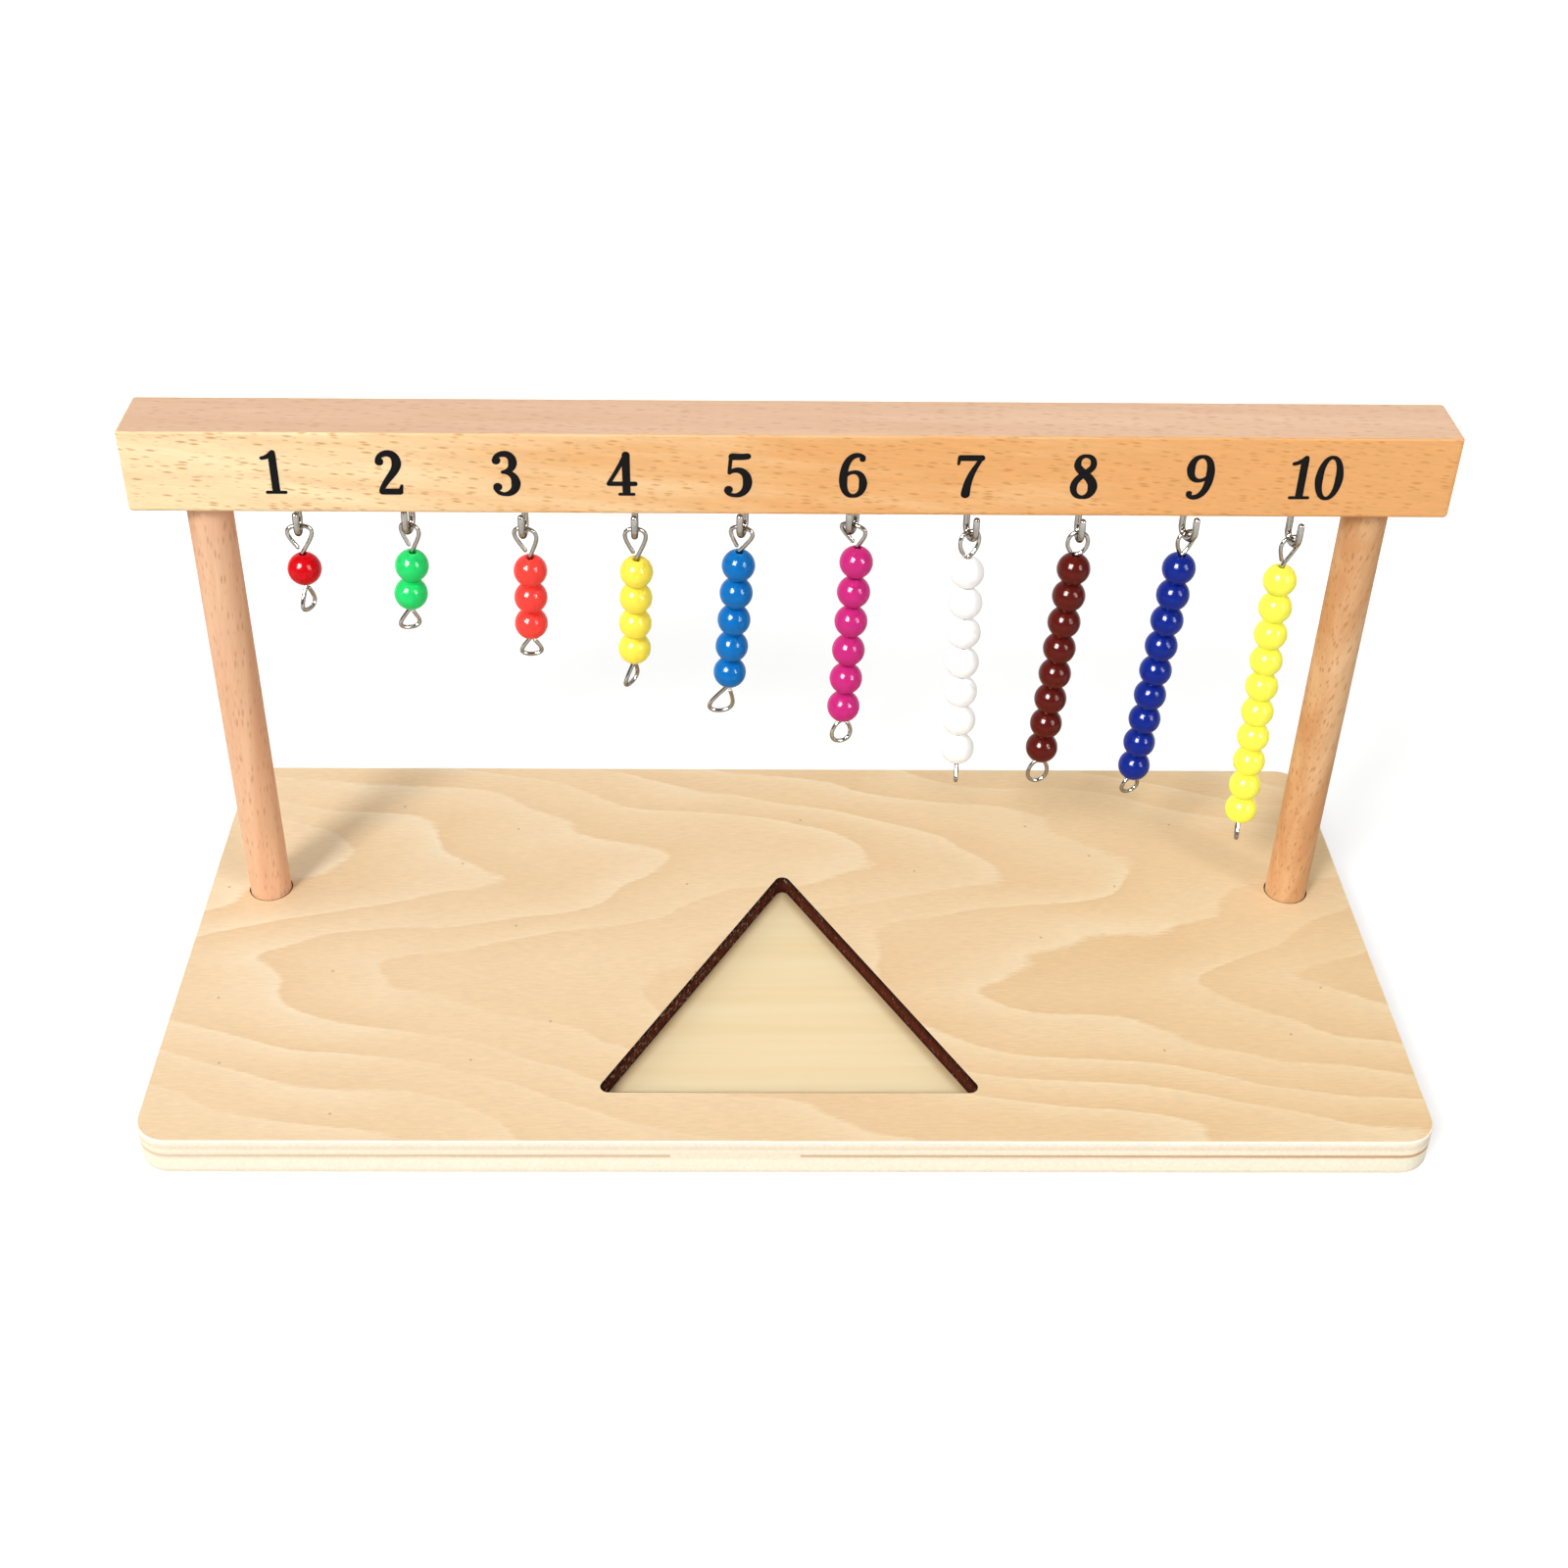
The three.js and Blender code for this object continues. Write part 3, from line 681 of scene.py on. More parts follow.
def scorched_wood():
    """Char, darker as |z - middle| grows, partly painted shade; ash where a noise passes a limit that rises
    from left to right.
    """
    material, tree, shader, place_on_wall = start_material("laser_scorched_wood")
    pulses = stretched_noise(tree, place_on_wall, PULSE_SIZE, {"Detail": 2})
    dark, bright = CHAR_TONES
    char = add(tree, "Mix", {"Factor": pulses, "A": dark, "B": bright}, data_type="RGBA")
    across_wall = add(tree, "SeparateXYZ", {0: place_on_wall}).outputs
    # Char and painted shade: the wall darkens away from its middle, towards the rim and the floor
    from_middle = add(tree, "Math", {0: across_wall["Z"], 1: WALL_MIDDLE * MM}, operation="SUBTRACT")
    away = add(tree, "Math", {0: from_middle}, operation="ABSOLUTE")
    char_and_painted_shade = add(tree, "MapRange", {
        "Value": away, "From Min": WALL_EVEN * WALL_REACH * MM, "From Max": WALL_REACH * MM,
        "To Min": 1.0, "To Max": 0.2,
    })
    char = add(tree, "Mix", {"Factor": 1.0, "A": char, "B": char_and_painted_shade}, data_type="RGBA", blend_type="MULTIPLY")
    chips = add(tree, "TexNoise", {
        "Vector": place_on_wall, "Scale": 1 / (CHIP_SIZE * MM), "Detail": 3, "Roughness": 0.7,
    })
    sound = add(tree, "MapRange", {"Value": across_wall["X"], **CHIPS_CHANGE})
    flaked = add(tree, "Math", {0: chips, 1: sound}, operation="SUBTRACT")
    chipped = add(tree, "MapRange", {"Value": flaked, "From Max": CHIP_EDGE})
    colour = add(tree, "Mix", {"Factor": chipped, "A": char, "B": ASH}, data_type="RGBA")
    relief = add(tree, "Bump", {"Height": pulses, "Strength": 0.3, "Distance": RELIEF_DEPTH * MM})
    connect(tree, shader, {
        "Base Color": colour, "Roughness": 0.75, "Normal": relief, "Specular IOR Level": WOOD_GLOSS,
    })
    return material


scorch = scorched_wood()
print("scorch", len(scorch.node_tree.nodes), "nodes")

# %% [markdown]
# ## The base
#
# Two boards are glued face to face. The upper one has the tray and the two post holes cut through it,
# each a hair wider than its post, which leaves a thin dark line at the posts' feet. Their edges meet in a
# fine groove. A Boolean would cut the openings, but it leaves slivers at their rims. Here they are loops
# of the flat face from the start, each with a wall of its own.

# %% The tray's outline
TRAY_WIDTH = 91
TRAY_LENGTH = 81.5
TRAY_CORNER = 1.8
TRAY_FROM_FRONT = 16
TRAY_ASIDE = 0.7

top_low, top_high = box_mm("base_top_board")
tray_front = top_low[1] + TRAY_FROM_FRONT
tray_slope = math.atan2(TRAY_LENGTH, TRAY_WIDTH / 2)


def tray_walls():
    """Inward normal of each wall, and the wall's distance from the origin along it: normal . corner."""
    sine, cosine = math.sin(tray_slope), math.cos(tray_slope)
    left_x, right_x = TRAY_ASIDE - TRAY_WIDTH / 2, TRAY_ASIDE + TRAY_WIDTH / 2
    return [
        ((0, 1), tray_front),
        ((sine, -cosine), sine * left_x - cosine * tray_front),
        ((-sine, -cosine), -sine * right_x - cosine * tray_front),
    ]


def tray_outline():
    """An even triangle with its point to the back; each corner's arc turns from one side to the next."""
    corner_x = TRAY_WIDTH / 2 - TRAY_CORNER / math.tan(tray_slope / 2)
    corner_y = tray_front + TRAY_CORNER
    point_y = tray_front + TRAY_LENGTH - TRAY_CORNER / math.cos(tray_slope)
    centres = [(TRAY_ASIDE + corner_x, corner_y), (TRAY_ASIDE, point_y), (TRAY_ASIDE - corner_x, corner_y)]
    lean = math.degrees(tray_slope)
    return arc_outline(centres, [-90, 90 - lean, 90 + lean], [180 - lean, 2 * lean, 180 - lean], TRAY_CORNER)


print("tray walls", [np.round(normal, 3).tolist() for normal, offset in tray_walls()])

# %% Make the two boards
CORNER_RADIUS = 8
FACE_ARRIS = 0.35
SEAM_ARRIS = 0.12
TRAY_ARRIS = 0.25
POST_CLEARANCE = 0.08
POST_SIDES = 72

bottom_low, bottom_high = box_mm("base_bottom_board")
post_boxes = {name: box_mm(name) for name in ("left_post", "right_post")}
post_centres = {name: (low + high)[:2] / 2 for name, (low, high) in post_boxes.items()}
post_radius = (post_boxes["left_post"][1] - post_boxes["left_post"][0])[0] / 2

base_materials = [veneer, sawn_edge, scorch, plain_basswood(tray_walls())]
VENEER, EDGE, SCORCH, PLAIN = range(4)
base_outline = rounded_rectangle(top_low, top_high, CORNER_RADIUS)
upper_profile = edge_profile(top_low[2], top_high[2], SEAM_ARRIS, FACE_ARRIS)
lower_profile = edge_profile(bottom_low[2], bottom_high[2], FACE_ARRIS, SEAM_ARRIS)
cut_profile = edge_profile(top_low[2], top_high[2], 0, TRAY_ARRIS)
post_holes = [
    (circle(centre, post_radius + POST_CLEARANCE, POST_SIDES), cut_profile, SCORCH)
    for centre in post_centres.values()
]
cuts = [(tray_outline(), cut_profile, SCORCH), *post_holes]
upper_parts = board_parts(base_outline, upper_profile, through=cuts, face=VENEER, wall=EDGE)
lower_parts = board_parts(base_outline, lower_profile, face=PLAIN, wall=EDGE)
make_piece("upper_board", upper_parts, base_materials, "stand", ["base_top_board"])
make_piece("lower_board", lower_parts, base_materials, "stand", ["base_bottom_board"])
print("base", np.round(top_high - bottom_low, 2), "mm")

# %% [markdown]
# ## Beech
#
# Beech is told by its rays: short dark flecks that lie along the grain, a millimetre or two long, on a
# plain orange-pink ground. Each fleck is one cell of a Voronoi pattern that is stretched along the grain
# and cut off at a small distance from its centre; a random number for each cell makes some flecks fade.
# Slow bands and fine fibres make up the ground. A drift from left to right paints light on the beam's
# front, which is paler at its left end where the left lamp falls. The same recipe serves the beam and the
# posts, turned to run along each one.

# %% Flecks of beech
FLECK_SIZE = (3.4, 0.66, 0.66)
FLECK_REACH = (0.1, 0.55)
FLECK_EDGE = 0.34
FLECK_STRENGTH = 0.75


def beech_flecks(tree, along):
    """Strength of a fleck: its cell's own reach, which is random, less the distance to the cell's centre."""
    scaled = add(tree, "Mapping", {"Vector": along, "Scale": per_metre(FLECK_SIZE)})
    cells = add(tree, "TexVoronoi", {"Vector": scaled, "Scale": 1, "Randomness": 1}).outputs
    chance = add(tree, "SeparateXYZ", {0: cells["Color"]}).outputs["X"]
    reach = add(tree, "MapRange", {"Value": chance, "To Min": FLECK_REACH[0], "To Max": FLECK_REACH[1]})
    inside = add(tree, "Math", {0: reach, 1: cells["Distance"]}, operation="SUBTRACT")
    return add(tree, "MapRange", {"Value": inside, "From Max": FLECK_EDGE, "To Max": FLECK_STRENGTH})


print("flecks per metre", np.round(per_metre(FLECK_SIZE)).tolist())

# %% Material: lacquered beech
BAND_SIZE = (140, 6, 6)
BAND_RANGE = {"From Min": -0.1, "From Max": 0.62}
# Wood fibres are finer, and are drawn as coarse as they need to be to show
BEECH_FIBRE_SIZE = (18, 0.55, 0.55)
BEECH_IOR = 1.48


def lacquered_beech(name, upright, grain_slope, pale, deep, fleck_colour, painted_light_drift):
    """Grain along X, or Z when upright, turned by its slope. Pale to deep by bands + a painted light drift to
    the right.
    """
    material, tree, shader, place_on_wood = start_material(name)
    slope = math.radians(grain_slope)
    quarter = math.radians(90) if upright else 0
    along = add(tree, "Mapping", {"Vector": place_on_wood, "Rotation": (0, quarter + slope, slope)})
    bands = stretched_noise(tree, along, BAND_SIZE, {"Detail": 2, "Roughness": 0.5, "Distortion": 0.4})
    left_right = add(tree, "SeparateXYZ", {0: place_on_wood}).outputs["X"]
    # Painted light: a positive drift makes the wood paler towards its left end
    painted_light = add(tree, "MapRange", {"Value": left_right, **LEFT_TO_RIGHT, "To Min": -painted_light_drift, "To Max": painted_light_drift})
    depth = add(tree, "Math", {0: bands, 1: painted_light}, operation="ADD")
    depth = add(tree, "MapRange", {"Value": depth, **BAND_RANGE})
    ground = add(tree, "Mix", {"Factor": depth, "A": pale, "B": deep}, data_type="RGBA")

    fibres = stretched_noise(tree, along, BEECH_FIBRE_SIZE, {"Detail": 3, "Roughness": 0.6})
    fibred = toned(tree, ground, fibres, low=0.94, high=1.045)
    fleck = beech_flecks(tree, along)
    colour = add(tree, "Mix", {"Factor": fleck, "A": fibred, "B": fleck_colour}, data_type="RGBA")
    finish_wood(tree, shader, colour, fibres, dullness=(0.4, 0.58), strength=0.12, ior=BEECH_IOR)
    return material


print("bands per metre", np.round(per_metre(BAND_SIZE)).tolist())

# %% Make the posts
POST_ROUNDING = 0.6

post_woods = {
    # The left dowel is paler than the right one: partly its own wood, partly painted light from the left
    "left_post": lacquered_beech(
        "pale_and_lit_beech_dowel", upright=True, grain_slope=-4, painted_light_drift=0.0,
        pale="#fcdab4", deep="#e3af8b", fleck_colour="#ca946d",
    ),
    "right_post": lacquered_beech(
        "beech_dowel", upright=True, grain_slope=-12, painted_light_drift=0.0,
        pale="#f4d2a5", deep="#d09a6a", fleck_colour="#b07b4c",
    ),
}
for name, (low, high) in post_boxes.items():
    outline = circle(post_centres[name], post_radius, POST_SIDES)
    profile = edge_profile(low[2], high[2], POST_ROUNDING, POST_ROUNDING)
    make_piece(f"{name}_dowel", board_parts(outline, profile), [post_woods[name]], "stand", [name])
print("posts", round(2 * post_radius, 2), "mm across")

# %% [markdown]
# ## The beam
#
# The beam is one planed bar. Its sides show the warm edge of the growth rings, its top and underside the
# paler and pinker flat grain. The posts sit in blind sockets and the hooks in pilot holes, so these are
# drilled from below here too, and nothing in the model runs through anything else. The functions for the
# base's boards serve as they are, because a blind hole is a wall with an end.

# %% Where the hooks go
HOOK_WIRE = 1.6
HOOK_DROP = 11
HOOK_BEND = 2.4
BAR_WIRE = 1.0
LINK_GAP = 0.35
HOOK_TURNS = [3, -12, -6, 0, -16, -24, 22, 3, 28, 18]

joints = {joint["name"]: joint for joint in frame["joints"]}
bar_numbers = range(1, len(HOOK_TURNS) + 1)
pivots = [np.array(joints[f"bar_{number}_swing"]["pos_m"]) / MM for number in bar_numbers]
hook_places = [pivot + [0, 0, HOOK_DROP - HOOK_WIRE - LINK_GAP - BAR_WIRE / 2] for pivot in pivots]
print("hooks at x", [round(place[0], 1) for place in hook_places])

# %% Make the beam
BEAM_CORNER = 1.0
BEAM_FOOT_ARRIS = 1.0
BEAM_TOP_ARRIS = 0.45
SOCKET_DEPTH = 12
HOOK_SCREW = 8
HOOK_HOLE_CLEARANCE = 0.15
HOOK_HOLE_SIDES = 24

beam_low, beam_high = box_mm("crossbeam")
# The front's drift is painted light: it is paler at its left end, where the left lamp falls
beam_front = lacquered_beech(
    "beech_bar_side", upright=False, grain_slope=-5, painted_light_drift=0.5,
    pale="#ffe8ba", deep="#ebae70", fleck_colour="#cf9150",
)
beam_top = lacquered_beech(
    "beech_bar_top", upright=False, grain_slope=3, painted_light_drift=-0.1,
    pale="#f0ceb0", deep="#e3bb9b", fleck_colour="#cda081",
)

socket_profile = edge_profile(beam_low[2], beam_low[2] + SOCKET_DEPTH, TRAY_ARRIS, 0)
drillings = [
    (circle(centre, post_radius + POST_CLEARANCE, POST_SIDES), socket_profile, 0)
    for centre in post_centres.values()
]
for hook_place, turn in zip(hook_places, np.radians(HOOK_TURNS)):
    shank = hook_place[:2] + HOOK_BEND * np.array([-math.sin(turn), math.cos(turn)])
    pilot = edge_profile(beam_low[2], hook_place[2] + HOOK_SCREW + HOOK_HOLE_CLEARANCE, 0, 0)
    drillings.append((circle(shank, HOOK_WIRE / 2 + HOOK_HOLE_CLEARANCE, HOOK_HOLE_SIDES), pilot, 0))
beam_outline = rounded_rectangle(beam_low, beam_high, BEAM_CORNER)
beam_profile = edge_profile(beam_low[2], beam_high[2], BEAM_FOOT_ARRIS, BEAM_TOP_ARRIS)
beam_parts = board_parts(beam_outline, beam_profile, blind=drillings, face=1)
make_piece("beam_bar", beam_parts, [beam_front, beam_top], "stand", ["crossbeam"])
print("beam", np.round(beam_high - beam_low, 2), "mm")

# %% [markdown]
# ## Printed numbers
#
# The numbers 1 to 10 are printed in black, in upright book figures with ball ends and thin serifs.
# Blender's own font has no serifs, so each figure is drawn as a sign writer would: a round brush follows
# a few curves and is pressed harder where the stroke swells. On a fine grid, the distance to the nearest
# brush mark says which cells are inked, and the cells' rim is moved onto the mark's edge. A very thin
# Solidify makes it a closed film.

# %% Brush strokes of the figures
# Each stroke is (points of joined cubic curves, half-widths spread along it), with the figure one unit high
FIGURES = {
    "0": [([(0, 0.97), (-0.13, 0.97), (-0.22, 0.76), (-0.22, 0.49), (-0.22, 0.22), (-0.13, 0.02), (0, 0.02),
            (0.13, 0.02), (0.22, 0.22), (0.22, 0.49), (0.22, 0.76), (0.13, 0.97), (0, 0.97)],
           [0.035, 0.075, 0.035, 0.075, 0.035])],
    "1": [([(0.03, 0.085), (0.03, 0.36), (0.03, 0.64), (0.03, 0.9)], [0.072, 0.072]),
          ([(-0.2, 0.82), (-0.13, 0.83), (-0.04, 0.86), (0.05, 0.95)], [0.036, 0.05]),
          ([(-0.17, 0.035), (-0.06, 0.035), (0.12, 0.035), (0.23, 0.035)], [0.032, 0.032])],
    "2": [([(-0.19, 0.75), (-0.2, 0.75), (-0.2, 0.75), (-0.19, 0.76)], [0.075, 0.075]),
          ([(-0.235, 0.77), (-0.2, 0.98), (0.19, 1.04), (0.18, 0.72), (0.17, 0.52), (-0.08, 0.36),
            (-0.2, 0.09)], [0.04, 0.088, 0.045]),
          ([(-0.18, 0.065), (-0.04, 0.065), (0.08, 0.065), (0.2, 0.065)], [0.062, 0.062]),
          ([(0.2, 0.05), (0.22, 0.1), (0.24, 0.14), (0.25, 0.2)], [0.05, 0.03])],
    "3": [([(-0.19, 0.79), (-0.19, 0.79), (-0.18, 0.79), (-0.18, 0.8)], [0.075, 0.075]),
          ([(-0.225, 0.81), (-0.17, 0.99), (0.18, 1.02), (0.17, 0.74), (0.16, 0.6), (0.06, 0.54),
            (-0.06, 0.53)], [0.04, 0.082, 0.034]),
          ([(-0.06, 0.53), (0.1, 0.54), (0.22, 0.44), (0.22, 0.28), (0.22, 0.08), (0.06, 0.02), (-0.03, 0.02),
            (-0.14, 0.02), (-0.21, 0.08), (-0.24, 0.16)], [0.034, 0.088, 0.04, 0.04]),
          ([(-0.19, 0.19), (-0.19, 0.19), (-0.18, 0.19), (-0.18, 0.19)], [0.078, 0.078])],
    "4": [([(0.1, 0.085), (0.1, 0.3), (0.1, 0.6), (0.1, 0.93)], [0.074, 0.074]),
          ([(0.1, 0.96), (0, 0.76), (-0.14, 0.5), (-0.28, 0.3)], [0.045, 0.036]),
          ([(-0.28, 0.275), (-0.1, 0.275), (0.1, 0.275), (0.29, 0.275)], [0.046, 0.046]),
          ([(-0.05, 0.032), (0.05, 0.032), (0.15, 0.032), (0.26, 0.032)], [0.03, 0.03])],
    "5": [([(-0.12, 0.91), (-0.02, 0.91), (0.1, 0.9), (0.22, 0.92)], [0.068, 0.06]),
          ([(-0.145, 0.93), (-0.16, 0.8), (-0.17, 0.68), (-0.18, 0.54)], [0.036, 0.036]),
          ([(-0.18, 0.54), (-0.05, 0.66), (0.22, 0.62), (0.22, 0.33), (0.22, 0.1), (0.06, 0.02),
            (-0.05, 0.02), (-0.15, 0.02), (-0.22, 0.06), (-0.25, 0.13)], [0.036, 0.088, 0.04, 0.04]),
          ([(-0.2, 0.155), (-0.2, 0.155), (-0.2, 0.155), (-0.19, 0.155)], [0.075, 0.075])],
    "6": [([(0.19, 0.87), (0.19, 0.87), (0.19, 0.87), (0.185, 0.87)], [0.055, 0.055]),
          ([(0.21, 0.91), (0.1, 1.02), (-0.22, 0.98), (-0.22, 0.4), (-0.22, 0.14), (-0.12, 0.02), (0, 0.02),
            (0.14, 0.02), (0.22, 0.14), (0.22, 0.3), (0.22, 0.46), (0.14, 0.57), (0.02, 0.57),
            (-0.08, 0.57), (-0.16, 0.52), (-0.21, 0.4)], [0.036, 0.08, 0.036, 0.078, 0.04, 0.03])],
    "7": [([(-0.2, 0.91), (-0.06, 0.91), (0.1, 0.91), (0.25, 0.91)], [0.06, 0.06]),
          ([(-0.225, 0.93), (-0.235, 0.88), (-0.245, 0.83), (-0.25, 0.77)], [0.04, 0.026]),
          ([(0.26, 0.92), (0.1, 0.66), (-0.03, 0.45), (-0.05, 0.08)], [0.034, 0.085])],
    "8": [([(-0.01, 0.97), (-0.13, 0.97), (-0.18, 0.88), (-0.18, 0.77), (-0.18, 0.62), (0.2, 0.5),
            (0.2, 0.25), (0.2, 0.1), (0.1, 0.02), (-0.01, 0.02)], [0.036, 0.066, 0.09, 0.036]),
          ([(-0.01, 0.97), (0.1, 0.97), (0.17, 0.9), (0.17, 0.78), (0.17, 0.6), (-0.22, 0.52), (-0.22, 0.25),
            (-0.22, 0.1), (-0.12, 0.02), (-0.01, 0.02)], [0.036, 0.06, 0.066, 0.036])],
}
# A nine is a six turned by half a turn
FIGURES["9"] = [([(-x, 0.99 - y) for x, y in points], widths) for points, widths in FIGURES["6"]]
print("strokes", {figure: len(strokes) for figure, strokes in FIGURES.items()})

# %% Distance to the brush marks
BRUSH_STEPS = 48
FIGURE_NARROWING = 0.94
STROKE_WEIGHT = 1.14


def brush_marks(points, widths):
    """Centres and half-widths of a stroke: cubic Bezier sums of its points, with the widths spread evenly."""
    points = np.array(points, float) * [FIGURE_NARROWING, 1]
    pieces = (len(points) - 1) // 3
    on = np.linspace(0, 1, BRUSH_STEPS)
    back = 1 - on
    weights = np.stack([back ** 3, 3 * on * back ** 2, 3 * on ** 2 * back, on ** 3], axis=1)
    of_piece = 3 * np.arange(pieces)[:, None] + np.arange(4)
    centres = np.einsum("sk,pkd->psd", weights, points[of_piece]).reshape(-1, 2)
    along = np.linspace(0, len(widths) - 1, len(centres))
    return centres, STROKE_WEIGHT * np.interp(along, np.arange(len(widths)), widths)


def figure_distance(figure, x, y):
    """How far a point lies outside the figure's ink: the least of (distance to a mark - its half-width)."""
    points = np.stack([x, y], axis=-1)[..., None, :]
    nearest = np.full(x.shape, np.inf)
    for stroke in FIGURES[figure]:
        centres, half_widths = brush_marks(*stroke)
        gaps = np.linalg.norm(points - centres, axis=-1) - half_widths
        nearest = np.minimum(nearest, gaps.min(axis=-1))
    return nearest


inside_nought = figure_distance("0", np.array([0.0]), np.array([0.5]))
print("from the middle of a nought to its ink", np.round(inside_nought, 3).tolist())

# %% [markdown]
# The ink itself is a matt screen-printing black. It has sunk a little into the wood, so it is not quite
# even.

# %% Material: printing ink
INK_MOTTLE = 0.8
INK_TONES = ("#060607", "#141316")
INK_GLOSS = 0.04


def printing_ink():
    """One noise mixes the two blacks and sets the roughness, so the darker spots are the shinier ones."""
    material, tree, shader, place_on_beam = start_material("black_printing_ink")
    mottle = add(tree, "TexNoise", {"Vector": place_on_beam, "Scale": 1 / (INK_MOTTLE * MM), "Detail": 2})
    dark, worn = INK_TONES
    colour = add(tree, "Mix", {"Factor": mottle, "A": dark, "B": worn}, data_type="RGBA")
    dullness = add(tree, "MapRange", {"Value": mottle, "To Min": 0.55, "To Max": 0.8})
    connect(tree, shader, {"Base Color": colour, "Roughness": dullness, "Specular IOR Level": INK_GLOSS})
    return material


ink = printing_ink()
print("ink", len(ink.node_tree.nodes), "nodes")

# %% Print the numbers
FIGURE_HEIGHT = 10.9
FIGURE_CELL = 0.11
FIGURE_HALF_BOX = 0.36
FIGURE_SPACING = 6.4
NUMBER_PITCH = 26.0
NUMBER_ROW_CENTRE = 0.85
NUMBER_MIDDLE = 137.3
INK_THICKNESS = 0.05


def inked_cells(figure, middle_x, base_z, front_y):
    """Grid points and inked quads of one figure. Points on the rim move by -gap * slope / slope squared."""
    half = FIGURE_HALF_BOX * FIGURE_HEIGHT
    columns_x = np.arange(-half, half, FIGURE_CELL)
    rows_z = np.arange(-half / 4, 1.1 * FIGURE_HEIGHT, FIGURE_CELL)
    x, z = np.meshgrid(columns_x, rows_z)
    gap = figure_distance(figure, x / FIGURE_HEIGHT, z / FIGURE_HEIGHT) * FIGURE_HEIGHT
    inked = (gap[:-1, :-1] + gap[1:, :-1] + gap[:-1, 1:] + gap[1:, 1:]) < 0
    neighbours = np.pad(inked, 1).astype(int)
    touching = neighbours[:-1, :-1] + neighbours[1:, :-1] + neighbours[:-1, 1:] + neighbours[1:, 1:]
    on_rim = (touching > 0) & (touching < 4)
    slope_z, slope_x = np.gradient(gap, FIGURE_CELL)
    steepness = slope_x ** 2 + slope_z ** 2 + 1e-6
    x = np.where(on_rim, x - gap * slope_x / steepness, x)
    z = np.where(on_rim, z - gap * slope_z / steepness, z)
    points = np.stack([x + middle_x, np.full(x.shape, front_y), z + base_z], axis=-1).reshape(-1, 3)

    columns = x.shape[1]
    row, column = np.nonzero(inked)
    corner = row * columns + column
    quads = np.stack([corner, corner + 1, corner + columns + 1, corner + columns], axis=-1)
    used, renumbered = np.unique(quads, return_inverse=True)
    return points[used], renumbered.reshape(-1, 4)


first_number_x = NUMBER_ROW_CENTRE - NUMBER_PITCH * (len(HOOK_TURNS) - 1) / 2
for number in bar_numbers:
    figures = str(number)
    middle = first_number_x + (number - 1) * NUMBER_PITCH
    offsets = FIGURE_SPACING * (np.arange(len(figures)) - (len(figures) - 1) / 2)
    parts = []
    for figure, offset in zip(figures, offsets):
        cells = inked_cells(figure, middle + offset, NUMBER_MIDDLE - FIGURE_HEIGHT / 2, beam_low[1])
        parts.append((*cells, 0, False))
    piece = make_piece(f"printed_number_{number}", parts, [ink], "stand", [])
    film = piece.modifiers.new("ink_film", "SOLIDIFY")
    film.thickness = INK_THICKNESS * MM
    film.offset = 1
print("numbers printed", len(HOOK_TURNS))

# %% [markdown]
# ## Plated wire
#
# Hooks and bars are steel wire with bright nickel plating. Nickel is a warm grey mirror. Its base colour
# is the tint of its reflections, and fine drawing marks along the wire spread the highlights a little.

# %% Material: nickel-plated wire
# Drawing marks are far finer, and are drawn as coarse as they need to be to show
DRAW_MARK = 0.4
NICKEL_TONES = ("#8c877f", "#b2aea6")
NICKEL_EDGE = "#6e6a66"


def nickel_plate():
    """A metal whose tint, roughness and relief all follow one fine noise, the marks of the drawing die."""
    material, tree, shader, place_on_wire = start_material("nickel_plated_steel")
    marks = add(tree, "TexNoise", {"Vector": place_on_wire, "Scale": 1 / (DRAW_MARK * MM), "Detail": 2})
    dullness = add(tree, "MapRange", {"Value": marks, **NOISE_RANGE, "To Min": 0.09, "To Max": 0.15})
    dark, bright = NICKEL_TONES
    tint = add(tree, "Mix", {"Factor": marks, "A": dark, "B": bright}, data_type="RGBA")
    relief = add(tree, "Bump", {"Height": marks, "Strength": 0.06, "Distance": RELIEF_DEPTH / 2 * MM})
    connect(tree, shader, {
        "Base Color": tint, "Roughness": dullness, "Normal": relief,
        "Metallic": 1.0, "Specular Tint": NICKEL_EDGE,
    })
    return material


nickel = nickel_plate()
print("nickel", len(nickel.node_tree.nodes), "nodes")

# %% [markdown]
# ## Bent wire
#
# A wire is a circle carried along a path. A curve with a round bevel would do that too, but the hooks'
# thread needs the points of the tube. Every bend here lies nearly flat in one plane, so that plane's
# normal, squared up to the path, is one axis of the circle. The normal crossed with the path's direction
# is the other. That needs no step-by-step frame, and the tube never twists. Short domes round the cut
# ends.

# %% A tube along a bent path
WIRE_SIDES = 20
DOME_ANGLES = np.radians([35, 65, 84])


